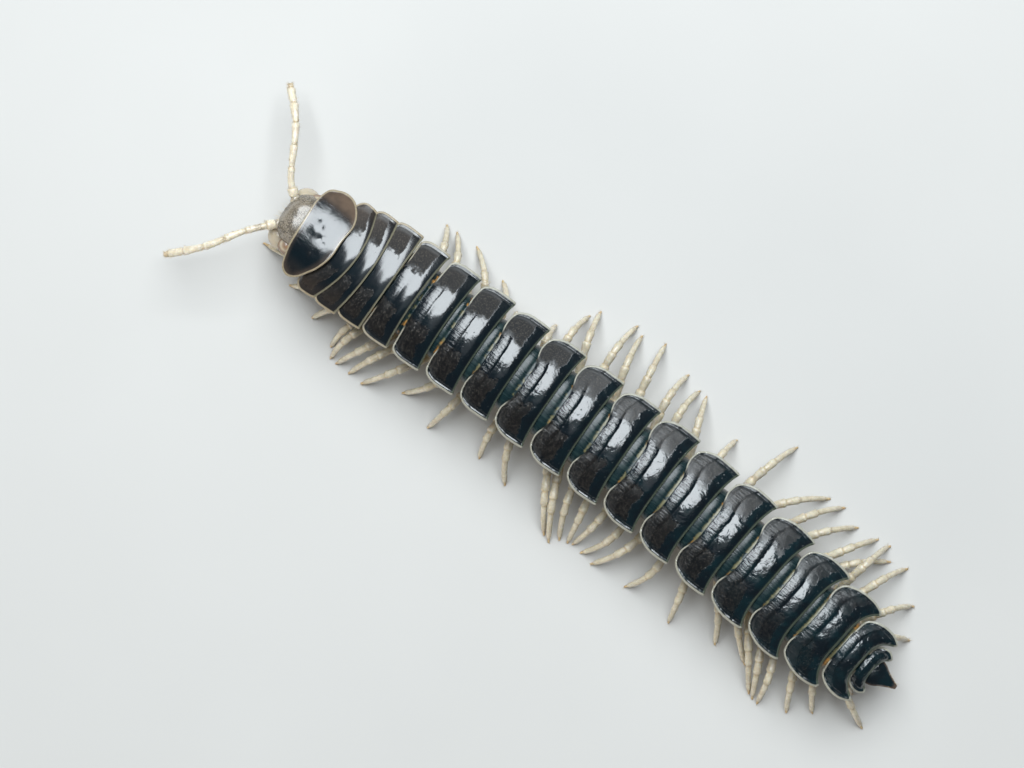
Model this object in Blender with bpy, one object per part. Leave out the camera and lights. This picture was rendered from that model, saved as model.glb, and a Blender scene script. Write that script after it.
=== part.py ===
"""Parafontariine millipede, a still life-size model in a walking pose.

Units are metres with +Z up. The sizes below are in millimetres and each mesh is scaled by MM
when its object is made. +X runs toward the head, +Y to the animal's left, and the feet stand
on the plane z = 0. The origin lies on that plane, under the middle of the whole animal.

The body is a chain of ring frames. A frame stands at the middle of a ring's rear margin and
turns with the ring; inside it u runs forward, v to the left and z up.
"""

from dataclasses import dataclass
from math import cos, pi, radians, sin

import bmesh
import bpy
import numpy as np
from mathutils import Matrix, Vector

MM = 0.001
GAP = 0.3

# Place of the whole animal: its box is centred on the origin.
BOX_CENTRE_X = 2.058
BOX_CENTRE_Y = -0.746

# Chain of rings. Keys are ring numbers: the collum is 1 and the last ring is 19.
FIRST_RING = 2
LAST_RING = 19
COLLUM_REAR = (20.04, -0.10)
STEP_BACK = {2: 1.40, 3: 1.16, 4: 1.42, 5: 1.85, 6: 2.39, 7: 2.60, 9: 2.76, 10: 2.90, 11: 2.88,
             13: 3.02, 15: 3.01, 16: 2.87, 17: 2.87, 18: 1.89, 19: 0.65}
SWAY_AT_X = {-24.3: -0.05, -22.0: 0.0, -19.7: -0.20, -17.0: -0.38, -11.0: -0.84, -5.0: -1.12, 0.8: -1.06,
             9.0: -0.92, 16.0: -0.62, 18.6: -0.22, 20.1: -0.10, 24.3: 0.05}
HEADING_DEG = {1: -3.5, 2: 0.5, 3: 2.5, 6: 3.0, 11: 2.5, 12: 1.2, 13: -1.3, 16: -4.0, 17: -3.6, 19: -3.0}

# Dorsal plates. The width is taken where the plate is widest, and the insets are shares of it.
PLATE_WIDTH = {2: 6.90, 3: 7.14, 4: 7.18, 8: 7.14, 12: 7.40, 14: 7.48, 15: 7.42, 16: 7.26, 17: 6.76,
               18: 5.40, 19: 3.40}
REAR_CORNER_INSET = {2: 0.03, 3: 0.01, 8: 0.01, 12: 0.015, 14: 0.025, 15: 0.035, 16: 0.045, 17: 0.10,
                     18: 0.165, 19: 0.22}
FRONT_CORNER_INSET = {2: 0.19, 3: 0.13, 5: 0.12, 9: 0.14, 16: 0.15, 17: 0.16, 18: 0.22, 19: 0.25}
SHOULDER_INSET = {2: 0.06, 3: 0.035, 5: 0.025, 16: 0.03, 17: 0.03, 18: 0.06, 19: 0.08}
CORNER_DRAWN_BACK = {2: -0.81, 3: -0.44, 4: -0.06, 5: 0.19, 9: 0.28, 13: 0.41, 14: 0.48, 15: 0.68, 16: 0.88,
                     17: 1.08, 18: 1.32, 19: 1.00}
REAR_MARGIN_POWER = {2: 2.0, 4: 2.0, 7: 2.6, 13: 3.0, 16: 3.5, 18: 3.7, 19: 2.8}
WAIST_LENGTH = {2: 0.32, 4: 0.32, 5: 0.40, 6: 0.48, 7: 0.58, 9: 0.78, 16: 0.78, 17: 0.70, 18: 0.42, 19: 0.32}
SIDE_WAIST_LENGTH = 0.36
FRONT_SWELL_SHARE = {0.0: 0.0, 0.30: 0.05, 0.66: 1.0, 0.80: 0.85, 0.90: 0.40, 1.0: 0.0}
CREST_Z = {1: 5.45, 2: 5.50, 4: 5.68, 8: 5.75, 14: 5.75, 16: 5.60, 17: 5.40, 18: 5.00, 19: 4.45}
EDGE_TOP_Z = {1: 4.10, 2: 4.25, 4: 4.45, 14: 4.45, 16: 4.35, 17: 4.20, 18: 3.95, 19: 3.60}
EDGE_THICKNESS = 0.5
MARGIN_DROP = 0.12
EDGE_DROP_SHARE = 0.5
KEEL_LEAN = 0.04
KEEL_ROOT_DROP = {2: 0.42, 18: 0.42, 19: 0.15}

# Share of the way from the rear to the front margin where a plate reaches each width.
PLATE_STATIONS = (0.18, 0.60, 0.86, 1.0)

# Core of the side below the keel: share of the core's half width, and share of the side's height.
CORE_PROFILE = ((0.97, 0.45), (0.78, 0.14), (0.45, 0.0), (0.0, 0.0))

# Core of the body below the plates, and the waist that plugs into the ring ahead.
STERNUM_Z = {2: 1.75, 16: 1.75, 17: 1.85, 18: 2.10, 19: 2.40}
CORE_HALF_WIDTH = {2: 2.45, 4: 2.70, 15: 2.75, 16: 2.65, 17: 2.40, 18: 1.80, 19: 1.10}
WAIST_HALF_WIDTH = {1: 1.70, 2: 1.90, 4: 2.05, 15: 2.05, 16: 1.90, 17: 1.50, 18: 0.95, 19: 0.62}
WAIST_TOP_Z = {1: 4.25, 2: 4.65, 4: 4.95, 14: 5.00, 16: 4.80, 17: 4.50, 18: 4.00, 19: 3.65}
WAIST_BOTTOM_Z = {1: 2.20, 16: 2.25, 17: 2.35, 18: 2.75, 19: 2.90}
WAIST_FLARE = 0.2
SOCKET_DEPTH = {1: 0.5, 17: 0.5, 18: 0.45, 19: 0.2}

# Collum: a domed shield over the neck. Its margins are given ahead of the frame at each v.
COLLUM_FRONT_U = {-3.15: 1.60, -2.95: 2.38, -2.45: 2.92, -1.90: 3.01, -0.50: 2.84, 0.90: 2.61, 2.20: 2.28,
                  2.95: 1.95, 3.24: 1.40}
COLLUM_REAR_U = {-3.15: 1.60, -2.85: 0.85, -2.45: 0.42, -1.85: 0.15, -0.60: 0.03, 0.55: -0.11, 1.70: 0.13,
                 2.35: 0.46, 2.85: 0.76, 3.24: 1.40}
COLLUM_REAR_FOLLOWED = (-2.85, 2.60)
COLLUM_MIDDLE_U = 1.50
COLLUM_HALF_LENGTH = 1.56
COLLUM_SAG = 0.45
COLLUM_TURNS = 28
COLLUM_STATIONS = ((0.35, 0.0), (0.72, 0.0), (0.94, 0.0), (1.0, 0.12), (1.0, 0.5), (0.72, 0.5), (0.35, 0.5))
NECK_FRONT_U = 0.80
NECK_TOP_Z = 4.85

# Head capsule with its cheeks and mouth plate.
HEAD_CENTRE = (22.73, -0.06, 2.75)
HEAD_HALF = (1.60, 1.90, 1.50)
HEAD_YAW_DEG = 2.0
CHEEK_OFFSET = (0.74, 1.70, -0.55)
CHEEK_HALF = (0.68, 0.58, 0.74)
MOUTH_OFFSET = (0.97, 0.0, -1.30)
MOUTH_HALF = (0.62, 1.10, 0.42)

# Antennae: seven joints laid along a path of a few points from root to tip.
ANTENNA_LEFT = ((24.22, 0.95, 3.30), (24.73, 1.59, 3.50), (25.36, 2.42, 3.65), (26.75, 4.70, 3.50),
                (28.60, 6.80, 2.60))
ANTENNA_RIGHT = ((24.32, -1.14, 3.30), (25.15, -1.89, 3.50), (25.55, -2.50, 3.62), (27.10, -4.88, 3.50),
                 (28.97, -6.60, 2.60))
ANTENNA_JOINT_LENGTHS = (0.56, 1.31, 1.38, 1.38, 1.31, 1.06, 0.31)
ANTENNA_JOINT_RADII = ((0.30, 0.30), (0.22, 0.26), (0.22, 0.26), (0.22, 0.26), (0.22, 0.26), (0.22, 0.28),
                       (0.22, 0.28))
ANTENNA_TIP_RADIUS = 0.15
BELLY_SHARE = 0.78

# Legs. Pairs 1 to 3 stand on rings 2 to 4, pairs 4 to 31 stand in twos on rings 5 to 18.
SINGLE_PAIR_RINGS = (2, 3, 4)
DOUBLE_PAIR_RINGS = tuple(range(5, 19))
HIP_V = 0.85
HIP_Z = 1.18
SINGLE_HIP_U = 0.45
FRONT_HIP_U = {5: 1.20, 6: 1.40, 7: 1.60, 16: 1.60, 17: 1.50, 18: 1.15}
REAR_HIP_U = {5: 0.30, 6: 0.45, 7: 0.60, 16: 0.60, 17: 0.50, 18: 0.25}

# How far each foot is set ahead of its hip, and how far out from the midline it stands.
SWING_LEFT = {1: 4.9, 2: 3.3, 3: 2.4, 4: 1.5, 5: 2.0, 6: 2.85, 7: 2.8, 8: 3.25, 9: 1.8, 10: 0.9, 12: -0.1,
              13: -1.4, 14: -3.3, 15: -2.8, 16: -1.4, 17: -0.9, 18: 0.6, 19: 0.9, 20: 1.7, 21: 0.15,
              22: -1.5, 23: -3.6, 24: -3.95, 25: -4.3, 26: -2.9, 27: -2.3, 28: -2.05, 29: -2.3, 30: -4.0,
              31: -1.2}
SWING_RIGHT = {1: 2.6, 2: 2.0, 3: 1.4, 4: 1.0, 5: 0.85, 6: 1.35, 7: 0.4, 8: 2.25, 9: 0.7, 10: 0.5, 11: 0.5,
               12: 0.8, 13: 0.4, 14: 1.9, 15: 0.5, 16: 1.8, 17: 1.3, 18: 1.1, 19: 0.95, 20: 2.7, 21: 0.5,
               22: -0.6, 23: -3.25, 24: -2.2, 25: -2.65, 26: -2.1, 27: -2.6, 28: 0.0, 29: -0.75, 30: -1.4,
               31: -1.7}
REACH_LEFT = {1: 2.5, 2: 3.65, 3: 4.65, 4: 5.45, 5: 6.05, 8: 6.2, 9: 5.2, 10: 6.0, 11: 3.3, 12: 5.6, 13: 6.05,
              14: 7.1, 15: 7.3, 16: 6.7, 18: 6.4, 20: 6.65, 21: 6.4, 22: 6.35, 23: 5.5, 24: 5.1, 25: 6.3,
              27: 6.35, 28: 5.55, 29: 4.5, 30: 3.1, 31: 1.9}
REACH_RIGHT = {1: 2.3, 2: 2.9, 3: 3.0, 4: 3.1, 5: 5.0, 6: 5.0, 7: 3.2, 8: 5.0, 9: 4.2, 10: 3.2, 11: 3.2,
               12: 4.0, 13: 5.7, 14: 6.4, 15: 7.0, 16: 6.75, 17: 7.2, 18: 6.5, 19: 6.1, 20: 6.1, 21: 5.2,
               22: 7.3, 23: 6.15, 24: 6.45, 25: 6.05, 26: 6.4, 27: 5.85, 28: 6.6, 29: 6.25, 30: 4.8,
               31: 3.0}

# How far each leg bulges ahead of the straight line from hip to foot, negative for behind it.
BEND_LEFT = {1: -2.0, 2: -0.8, 3: 0.4, 4: 0.9, 5: 1.2, 6: 0.4, 7: 0.6, 8: -0.1, 9: -1.2, 10: -0.1, 12: 0.7,
             13: 1.2, 14: 0.35, 15: 0.4, 16: 0.8, 17: 0.0, 18: -0.3, 19: -1.4, 20: -0.85, 21: -1.5, 22: 0.0,
             23: -0.7, 24: 0.8, 25: 0.0, 26: 0.15, 27: -0.5, 28: 0.5, 29: 0.5, 31: 0.7}
BEND_RIGHT = {1: -0.8, 5: -0.8, 6: -1.0, 8: -1.6, 9: -1.6, 10: 0.0, 12: 0.6, 13: 1.0, 14: 0.8, 15: 1.0,
              16: 1.0, 17: 0.55, 18: 1.3, 19: 1.2, 20: 0.7, 22: 0.9, 23: 1.3, 25: 1.2, 26: 0.7, 27: 1.4,
              28: 1.1, 29: 1.2, 31: 1.3}
BEND_AT_SHARE = 0.6

# Right legs 27 and 28 cross: one keeps low and the other arches over it.
LIFT_RIGHT = {26: 1.0, 27: 0.62, 28: 1.35, 29: 1.0}
LIFT_LEFT = {1: 1.0}

# A leg from hip to claw: share of its path, height above the floor and radius at each joint.
LEG_SHARES = (0.0, 0.10, 0.27, 0.44, 0.60, 0.74, 0.87, 0.95, 1.0)
LEG_HEIGHTS = (1.18, 1.08, 1.34, 1.82, 1.98, 1.50, 0.76, 0.24, 0.10)
LEG_RADII = (0.27, 0.30, 0.28, 0.26, 0.28, 0.26, 0.24, 0.15, 0.10)
LIFT_FROM = 0.2
LIFT_TO = 0.9
FLAT_BELOW = 0.05
PAD_HALF = (0.34, 0.34, 0.25)

# The feet were placed at the height of the plates. They lie lower, so they stand a little farther
# out from the middle of the view.
VIEW_MIDDLE = (6.29, -0.28)
FOOT_SPREAD = 0.023

# Tail piece behind ring 19.
TELSON_TURN_DEG = 5.0
TELSON_STATIONS = ((0.0, 0.66, 2.60, 3.85), (0.60, 0.80, 2.40, 3.95), (1.15, 0.74, 2.45, 3.75),
                   (1.75, 0.46, 2.75, 3.40), (1.98, 0.30, 2.90, 3.30))

# Angles around a body section, from the top to the bottom of the left side.
COLUMN_ANGLES = tuple(radians(a) for a in (90, 68, 50, 34, 20, 8, -4, -16, -35, -55, -73, -90))
PLATE_TOP_SHARES = (0.0, 0.25, 0.47, 0.66, 0.85, 1.0)
PLATE_ARCH_POWER = 1.8

SHELL_COLOUR = (0.012, 0.020, 0.026)
WAIST_COLOUR = (0.10, 0.13, 0.12)
LEG_COLOUR = (0.66, 0.58, 0.40)
HEAD_COLOUR = (0.16, 0.14, 0.10)


def between(keys, at):
    """Value at a ring or pair number, read by straight lines between the keys."""
    return float(np.interp(at, list(keys), list(keys.values())))


def smooth_between(keys, at):
    """Value read by a smooth curve through the keys, and held beyond them."""
    places = list(keys)
    values = list(keys.values())
    slopes = np.gradient(values, places)
    at = min(max(at, places[0]), places[-1])
    i = min(int(np.searchsorted(places, at, side='right')) - 1, len(places) - 2)
    span = places[i + 1] - places[i]
    t = (at - places[i]) / span
    ease = t * t * (3 - 2 * t)
    start_pull = t * (1 - t) ** 2 * span * slopes[i]
    end_pull = t * t * (1 - t) * span * slopes[i + 1]
    return float(values[i] + (values[i + 1] - values[i]) * ease + start_pull - end_pull)


@dataclass
class RingFrame:
    """Place and heading of one ring, at the middle of its rear margin."""

    number: int
    x: float
    y: float
    heading: float

    def point(self, u, v, z):
        """World point of a place u ahead, v to the left and z up."""
        ahead = Vector((cos(self.heading), sin(self.heading), 0.0))
        left = Vector((-sin(self.heading), cos(self.heading), 0.0))
        return Vector((self.x, self.y, z)) + ahead * u + left * v

    def inside(self, point):
        """The u and v of a world point."""
        dx = point.x - self.x
        dy = point.y - self.y
        u = dx * cos(self.heading) + dy * sin(self.heading)
        v = -dx * sin(self.heading) + dy * cos(self.heading)
        return u, v


def ring_frames():
    """The chain of frames from the collum to ring 19."""
    x = COLLUM_REAR[0]
    frames = {1: RingFrame(1, x, COLLUM_REAR[1], radians(between(HEADING_DEG, 1)))}
    for number in range(FIRST_RING, LAST_RING + 1):
        heading = radians(between(HEADING_DEG, number))
        x -= between(STEP_BACK, number) * cos(heading)
        frames[number] = RingFrame(number, x, between(SWAY_AT_X, x), heading)
    return frames


def rear_margin_u(number, v):
    """How far ahead of the frame the rear margin lies at v."""
    if number == 1:
        right, left = COLLUM_REAR_FOLLOWED
        return smooth_between(COLLUM_REAR_U, min(max(v, right), left))
    corner = between(PLATE_WIDTH, number) / 2 * (1 - between(REAR_CORNER_INSET, number))
    share = min(abs(v) / corner, 1.0)
    return -between(CORNER_DRAWN_BACK, number) * share ** between(REAR_MARGIN_POWER, number)


def front_margin_u(frames, number, v):
    """Front of the ring at v: one waist behind the rear margin of the ring ahead."""
    here = frames[number]
    ahead = frames[number - 1]
    across = v
    for _ in range(3):
        margin = ahead.point(rear_margin_u(ahead.number, across), across, 0.0)
        u, v_found = here.inside(margin)
        across += v - v_found
    return u - between(WAIST_LENGTH, number)


def keel_swell(number, v):
    """How far the side keels reach forward over the waist at v."""
    over = between(WAIST_LENGTH, number) - SIDE_WAIST_LENGTH
    share = abs(v) / (between(PLATE_WIDTH, number) / 2)
    return max(over, 0.0) * smooth_between(FRONT_SWELL_SHARE, share)


def plate_section(number, inset, drop):
    """Half outline of a ring through its plate: pairs of v and z, from top to bottom."""
    half = between(PLATE_WIDTH, number) / 2 * (1 - inset)
    crest = between(CREST_Z, number) - drop
    edge = between(EDGE_TOP_Z, number) - drop * EDGE_DROP_SHARE
    core = min(between(CORE_HALF_WIDTH, number), half - KEEL_LEAN * 1.5)
    sternum = between(STERNUM_Z, number)
    side_height = edge - sternum
    outline = []
    for share in PLATE_TOP_SHARES:
        outline.append((half * share, crest - (crest - edge) * share**PLATE_ARCH_POWER))
    keel_bottom = edge - EDGE_THICKNESS
    outline.append((half - KEEL_LEAN, keel_bottom))
    outline.append((core, keel_bottom - between(KEEL_ROOT_DROP, number)))
    for width_share, height_share in CORE_PROFILE:
        outline.append((core * width_share, sternum + side_height * height_share))
    return outline


def oval(half_width, low, high):
    """Half outline of an oval body section: pairs of v and z, from top to bottom."""
    middle = (high + low) / 2
    height = (high - low) / 2
    return [(half_width * cos(a), middle + height * sin(a)) for a in COLUMN_ANGLES]


def waist_section(number, swell):
    """Half outline of the waist that plugs into ring `number`, swollen all round."""
    half = between(WAIST_HALF_WIDTH, number) + swell
    return oval(half, between(WAIST_BOTTOM_Z, number) - swell, between(WAIST_TOP_Z, number) + swell)


def full_loop(outline):
    """Both sides of a half outline: down the left side and up the right side."""
    right = [(-v, z) for v, z in reversed(outline[1:-1])]
    return list(outline) + right


def loop_points(frame, outline, margin):
    """World points of a section whose place along the ring is margin(v, z)."""
    return [frame.point(margin(v, z), v, z) for v, z in full_loop(outline)]


def loft(loops, start_pole, end_pole):
    """A closed mesh through like loops of points, each end closed by a fan."""
    mesh = bmesh.new()
    rows = [[mesh.verts.new(p) for p in loop] for loop in loops]
    count = len(rows[0])
    for near, far in zip(rows, rows[1:]):
        for i in range(count):
            j = (i + 1) % count
            mesh.faces.new((near[i], near[j], far[j], far[i]))
    for pole, row in ((start_pole, rows[0]), (end_pole, rows[-1])):
        hub = mesh.verts.new(pole)
        for i in range(count):
            mesh.faces.new((row[i], row[(i + 1) % count], hub))
    bmesh.ops.recalc_face_normals(mesh, faces=mesh.faces)
    return mesh


def middle_of(points):
    """Mean of some points."""
    return sum(points, Vector()) / len(points)


def ring_mesh(frames, number):
    """One ring: rear socket, plate with its side keels, core and front waist."""
    here = frames[number]
    ahead = frames[number - 1]
    rear_inset = between(REAR_CORNER_INSET, number)
    insets = (rear_inset * 0.4, 0.0, between(SHOULDER_INSET, number), between(FRONT_CORNER_INSET, number))

    keel_floor = between(EDGE_TOP_Z, number) - EDGE_THICKNESS - MARGIN_DROP
    core_front = front_margin_u(frames, number, 0.0)

    def along(share):
        """Line across the ring at a share of the way from the rear to the front margin."""
        def line(v, z):
            rear = rear_margin_u(number, v)
            front = front_margin_u(frames, number, v)
            if z > keel_floor:
                front += keel_swell(number, v)
            else:
                front = min(front, core_front)
            return rear + share * (front - rear)
        return line

    def waist_root(v, z):
        """Line where the waist leaves the ring."""
        return min(front_margin_u(frames, number, v), core_front)

    depth = between(SOCKET_DEPTH, number)
    reach = between(SOCKET_DEPTH, number - 1) - GAP
    socket = waist_section(number, GAP)
    floor = loop_points(here, socket, lambda v, z: depth)
    plug = loop_points(ahead, waist_section(number - 1, 0.0), lambda v, z: reach)
    loops = [floor, loop_points(here, socket, lambda v, z: rear_margin_u(number, v))]
    loops.append(loop_points(here, plate_section(number, rear_inset, MARGIN_DROP), along(0.0)))
    for share, inset in zip(PLATE_STATIONS, insets):
        drop = MARGIN_DROP if share == 1.0 else 0.0
        loops.append(loop_points(here, plate_section(number, inset, drop), along(share)))
    loops.append(loop_points(here, waist_section(number - 1, WAIST_FLARE), waist_root))
    loops.append(plug)
    return loft(loops, middle_of(floor), middle_of(plug))


def collum_height(u, v):
    """Height of the collum's upper face, domed across and sagging to both margins."""
    crest = between(CREST_Z, 1)
    half_width = max(COLLUM_FRONT_U)
    across = (v / half_width) ** 2
    lengthwise = ((u - COLLUM_MIDDLE_U) / COLLUM_HALF_LENGTH) ** 2
    return crest - (crest - between(EDGE_TOP_Z, 1)) * across - COLLUM_SAG * lengthwise


def collum_outline(turn):
    """The u and v of the collum's rim, by its turn about the middle from front to left."""
    right = min(COLLUM_FRONT_U)
    left = max(COLLUM_FRONT_U)
    v = (left + right) / 2 + (left - right) / 2 * sin(turn)
    margin = COLLUM_FRONT_U if cos(turn) > 0 else COLLUM_REAR_U
    return smooth_between(margin, v), v


def collum_shield(frame):
    """Domed plate: loops of points from the crown down to the rim and back underneath."""
    loops = []
    for share, below in COLLUM_STATIONS:
        loop = []
        for i in range(COLLUM_TURNS):
            rim_u, rim_v = collum_outline(2 * pi * i / COLLUM_TURNS)
            u = COLLUM_MIDDLE_U + share * (rim_u - COLLUM_MIDDLE_U)
            v = share * rim_v
            loop.append(frame.point(u, v, collum_height(u, v) - below))
        loops.append(loop)
    crown = frame.point(COLLUM_MIDDLE_U, 0.0, collum_height(COLLUM_MIDDLE_U, 0.0))
    inner = crown - Vector((0.0, 0.0, EDGE_THICKNESS))
    return loft(loops, crown, inner)


def neck_block(frame):
    """The body below the collum, between the head and the waist of ring 2."""
    outline = oval(between(WAIST_HALF_WIDTH, 1), between(WAIST_BOTTOM_Z, 1), NECK_TOP_Z)
    back_u = between(SOCKET_DEPTH, 1)
    back = loop_points(frame, outline, lambda v, z: back_u)
    front = loop_points(frame, outline, lambda v, z: NECK_FRONT_U)
    return loft([back, front], middle_of(back), middle_of(front))


def ball(centre, half, turns=16, rows=10, yaw=0.0):
    """An ellipsoid of given half sizes."""
    mesh = bmesh.new()
    bmesh.ops.create_uvsphere(mesh, u_segments=turns, v_segments=rows, radius=1.0)
    size = Matrix.Diagonal((*half, 1.0))
    turn = Matrix.Rotation(yaw, 4, 'Z')
    mesh.transform(Matrix.Translation(centre) @ turn @ size)
    return mesh


def head_meshes():
    """Capsule, cheeks and mouth plate, which are fused into one solid."""
    centre = Vector(HEAD_CENTRE)
    yaw = radians(HEAD_YAW_DEG)
    turn = Matrix.Rotation(yaw, 4, 'Z')
    pieces = [ball(centre, HEAD_HALF, 18, 12, yaw)]
    for side in (1, -1):
        offset = Vector((CHEEK_OFFSET[0], side * CHEEK_OFFSET[1], CHEEK_OFFSET[2]))
        pieces.append(ball(centre + turn @ offset, CHEEK_HALF, 12, 8, yaw))
    pieces.append(ball(centre + turn @ Vector(MOUTH_OFFSET), MOUTH_HALF, 14, 8, yaw))
    return pieces


def tube(points, radii):
    """A closed six-sided tube through some points, with its radius at each."""
    curve = bpy.data.curves.new("route", 'CURVE')
    curve.dimensions = '3D'
    curve.bevel_depth = 1.0
    curve.bevel_resolution = 1
    curve.use_fill_caps = True
    spline = curve.splines.new('POLY')
    spline.points.add(len(points) - 1)
    for knot, point, radius in zip(spline.points, points, radii):
        knot.co = (*point, 1.0)
        knot.radius = radius
    holder = bpy.data.objects.new("route", curve)
    bpy.context.scene.collection.objects.link(holder)
    graph = bpy.context.evaluated_depsgraph_get()
    data = bpy.data.meshes.new_from_object(holder.evaluated_get(graph))
    mesh = bmesh.new()
    mesh.from_mesh(data)
    bmesh.ops.remove_doubles(mesh, verts=mesh.verts, dist=1e-4)
    bmesh.ops.recalc_face_normals(mesh, faces=mesh.faces)
    bpy.data.objects.remove(holder)
    bpy.data.curves.remove(curve)
    bpy.data.meshes.remove(data)
    return mesh


def path_point(path, share):
    """Point at a share of the length of a path."""
    spans = [(Vector(b) - Vector(a)).length for a, b in zip(path, path[1:])]
    reached = np.concatenate(([0.0], np.cumsum(spans)))
    at = share * reached[-1]
    return Vector([float(np.interp(at, reached, axis)) for axis in zip(*path)])


def antenna_mesh(path):
    """Seven joints, each thin at its root and swollen toward its far end."""
    whole = sum(ANTENNA_JOINT_LENGTHS)
    points = []
    radii = []
    start = 0.0
    for length, (neck, belly) in zip(ANTENNA_JOINT_LENGTHS, ANTENNA_JOINT_RADII):
        for inside, radius in ((0.0, neck), (BELLY_SHARE, belly)):
            points.append(path_point(path, (start + inside * length) / whole))
            radii.append(radius)
        start += length
    points.append(Vector(path[-1]))
    radii.append(ANTENNA_TIP_RADIUS)
    return tube(points, radii)


def bow_point(start, pull, end, share):
    """Point of a bow that leaves start toward pull and comes to end."""
    return start * (1 - share) ** 2 + pull * (2 * share * (1 - share)) + end * share**2


def spread(place, amount):
    """Move a place out from the middle of the view."""
    middle = Vector((*VIEW_MIDDLE, place.z))
    return place + (place - middle) * amount


def leg_mesh(frame, side, hip_u, swing, reach, bend, lift):
    """One leg from inside its coxal pad to the flat under its claw."""
    hip = frame.point(hip_u, side * HIP_V, 0.0)
    foot = frame.point(hip_u + swing, side * reach, 0.0)
    turn_u = hip_u + swing / 2 + bend
    turn_v = HIP_V + (reach - HIP_V) * BEND_AT_SHARE
    pull = frame.point(turn_u, side * turn_v, 0.0)
    foot = spread(foot, FOOT_SPREAD)
    pull = spread(pull, FOOT_SPREAD / 2)
    points = []
    for share, height in zip(LEG_SHARES, LEG_HEIGHTS):
        place = bow_point(hip, pull, foot, share)
        lifted = LIFT_FROM < share < LIFT_TO
        points.append(Vector((place.x, place.y, height * lift if lifted else height)))
    mesh = tube(points, LEG_RADII)
    for vert in mesh.verts:
        if vert.co.z < FLAT_BELOW:
            vert.co.z = 0.0
    return mesh


def coxal_pad(frame, side, hips):
    """Flat block under the sternum that carries the legs of one side."""
    mesh = bmesh.new()
    bmesh.ops.create_cube(mesh, size=2.0)
    half_length = (max(hips) - min(hips)) / 2 + PAD_HALF[0]
    place = frame.point((max(hips) + min(hips)) / 2, side * HIP_V, HIP_Z)
    mesh.transform(Matrix.Diagonal((half_length, PAD_HALF[1], PAD_HALF[2], 1.0)))
    mesh.transform(Matrix.Translation(place) @ Matrix.Rotation(frame.heading, 4, 'Z'))
    return mesh


def telson_mesh(frame):
    """Tapered tail piece, with its waist plugged into ring 19."""
    turn = radians(TELSON_TURN_DEG)
    tail = RingFrame(LAST_RING + 1, frame.x, frame.y, frame.heading + turn)
    reach = between(SOCKET_DEPTH, LAST_RING) - GAP
    plug = loop_points(frame, waist_section(LAST_RING, 0.0), lambda v, z: reach)
    loops = [plug]
    for behind, half, low, high in TELSON_STATIONS:
        loops.append(loop_points(tail, oval(half, low, high), lambda v, z, back=behind: -GAP - back))
    return loft(loops, middle_of(plug), middle_of(loops[-1]))


def largest_shell(mesh):
    """Remove every closed surface of a mesh but the one with the most vertices."""
    left = set(mesh.verts)
    shells = []
    while left:
        seed = left.pop()
        shell = {seed}
        edge = [seed]
        while edge:
            vert = edge.pop()
            for link in vert.link_edges:
                other = link.other_vert(vert)
                if other not in shell:
                    shell.add(other)
                    edge.append(other)
        left -= shell
        shells.append(shell)
    shells.sort(key=len)
    loose = [vert for shell in shells[:-1] for vert in shell]
    bmesh.ops.delete(mesh, geom=loose, context='VERTS')


def fuse(meshes):
    """One closed mesh from several that overlap."""
    group = bpy.data.collections.new("pieces")
    bpy.context.scene.collection.children.link(group)
    holders = []
    for mesh in meshes:
        data = bpy.data.meshes.new("piece")
        mesh.to_mesh(data)
        mesh.free()
        holders.append(bpy.data.objects.new("piece", data))
    base = holders[0]
    bpy.context.scene.collection.objects.link(base)
    for holder in holders[1:]:
        group.objects.link(holder)
    union = base.modifiers.new("union", 'BOOLEAN')
    union.operation = 'UNION'
    union.operand_type = 'COLLECTION'
    union.collection = group
    union.solver = 'EXACT'
    graph = bpy.context.evaluated_depsgraph_get()
    data = bpy.data.meshes.new_from_object(base.evaluated_get(graph))
    fused = bmesh.new()
    fused.from_mesh(data)
    bmesh.ops.remove_doubles(fused, verts=fused.verts, dist=1e-4)
    bmesh.ops.dissolve_degenerate(fused, edges=fused.edges, dist=1e-4)
    largest_shell(fused)
    bpy.data.meshes.remove(data)
    for holder in holders:
        old = holder.data
        bpy.data.objects.remove(holder)
        bpy.data.meshes.remove(old)
    bpy.data.collections.remove(group)
    return fused


def material(name, colour, roughness):
    """A plain non-metal finish."""
    finish = bpy.data.materials.new(name)
    finish.use_nodes = True
    shader = finish.node_tree.nodes["Principled BSDF"]
    shader.inputs["Base Color"].default_value = (*colour, 1.0)
    shader.inputs["Roughness"].default_value = roughness
    shader.inputs["Metallic"].default_value = 0.0
    return finish


def add_node(name, mesh, finish):
    """Turn a mesh in millimetres into a named object in metres, centred on the origin."""
    mesh.transform(Matrix.Scale(MM, 4) @ Matrix.Translation((-BOX_CENTRE_X, -BOX_CENTRE_Y, 0.0)))
    bmesh.ops.triangulate(mesh, faces=mesh.faces)
    data = bpy.data.meshes.new(name)
    mesh.to_mesh(data)
    mesh.free()
    data.shade_smooth()
    data.set_sharp_from_angle(angle=radians(35))
    data.materials.append(finish)
    node = bpy.data.objects.new(name, data)
    BODY.objects.link(node)
    return node


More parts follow.
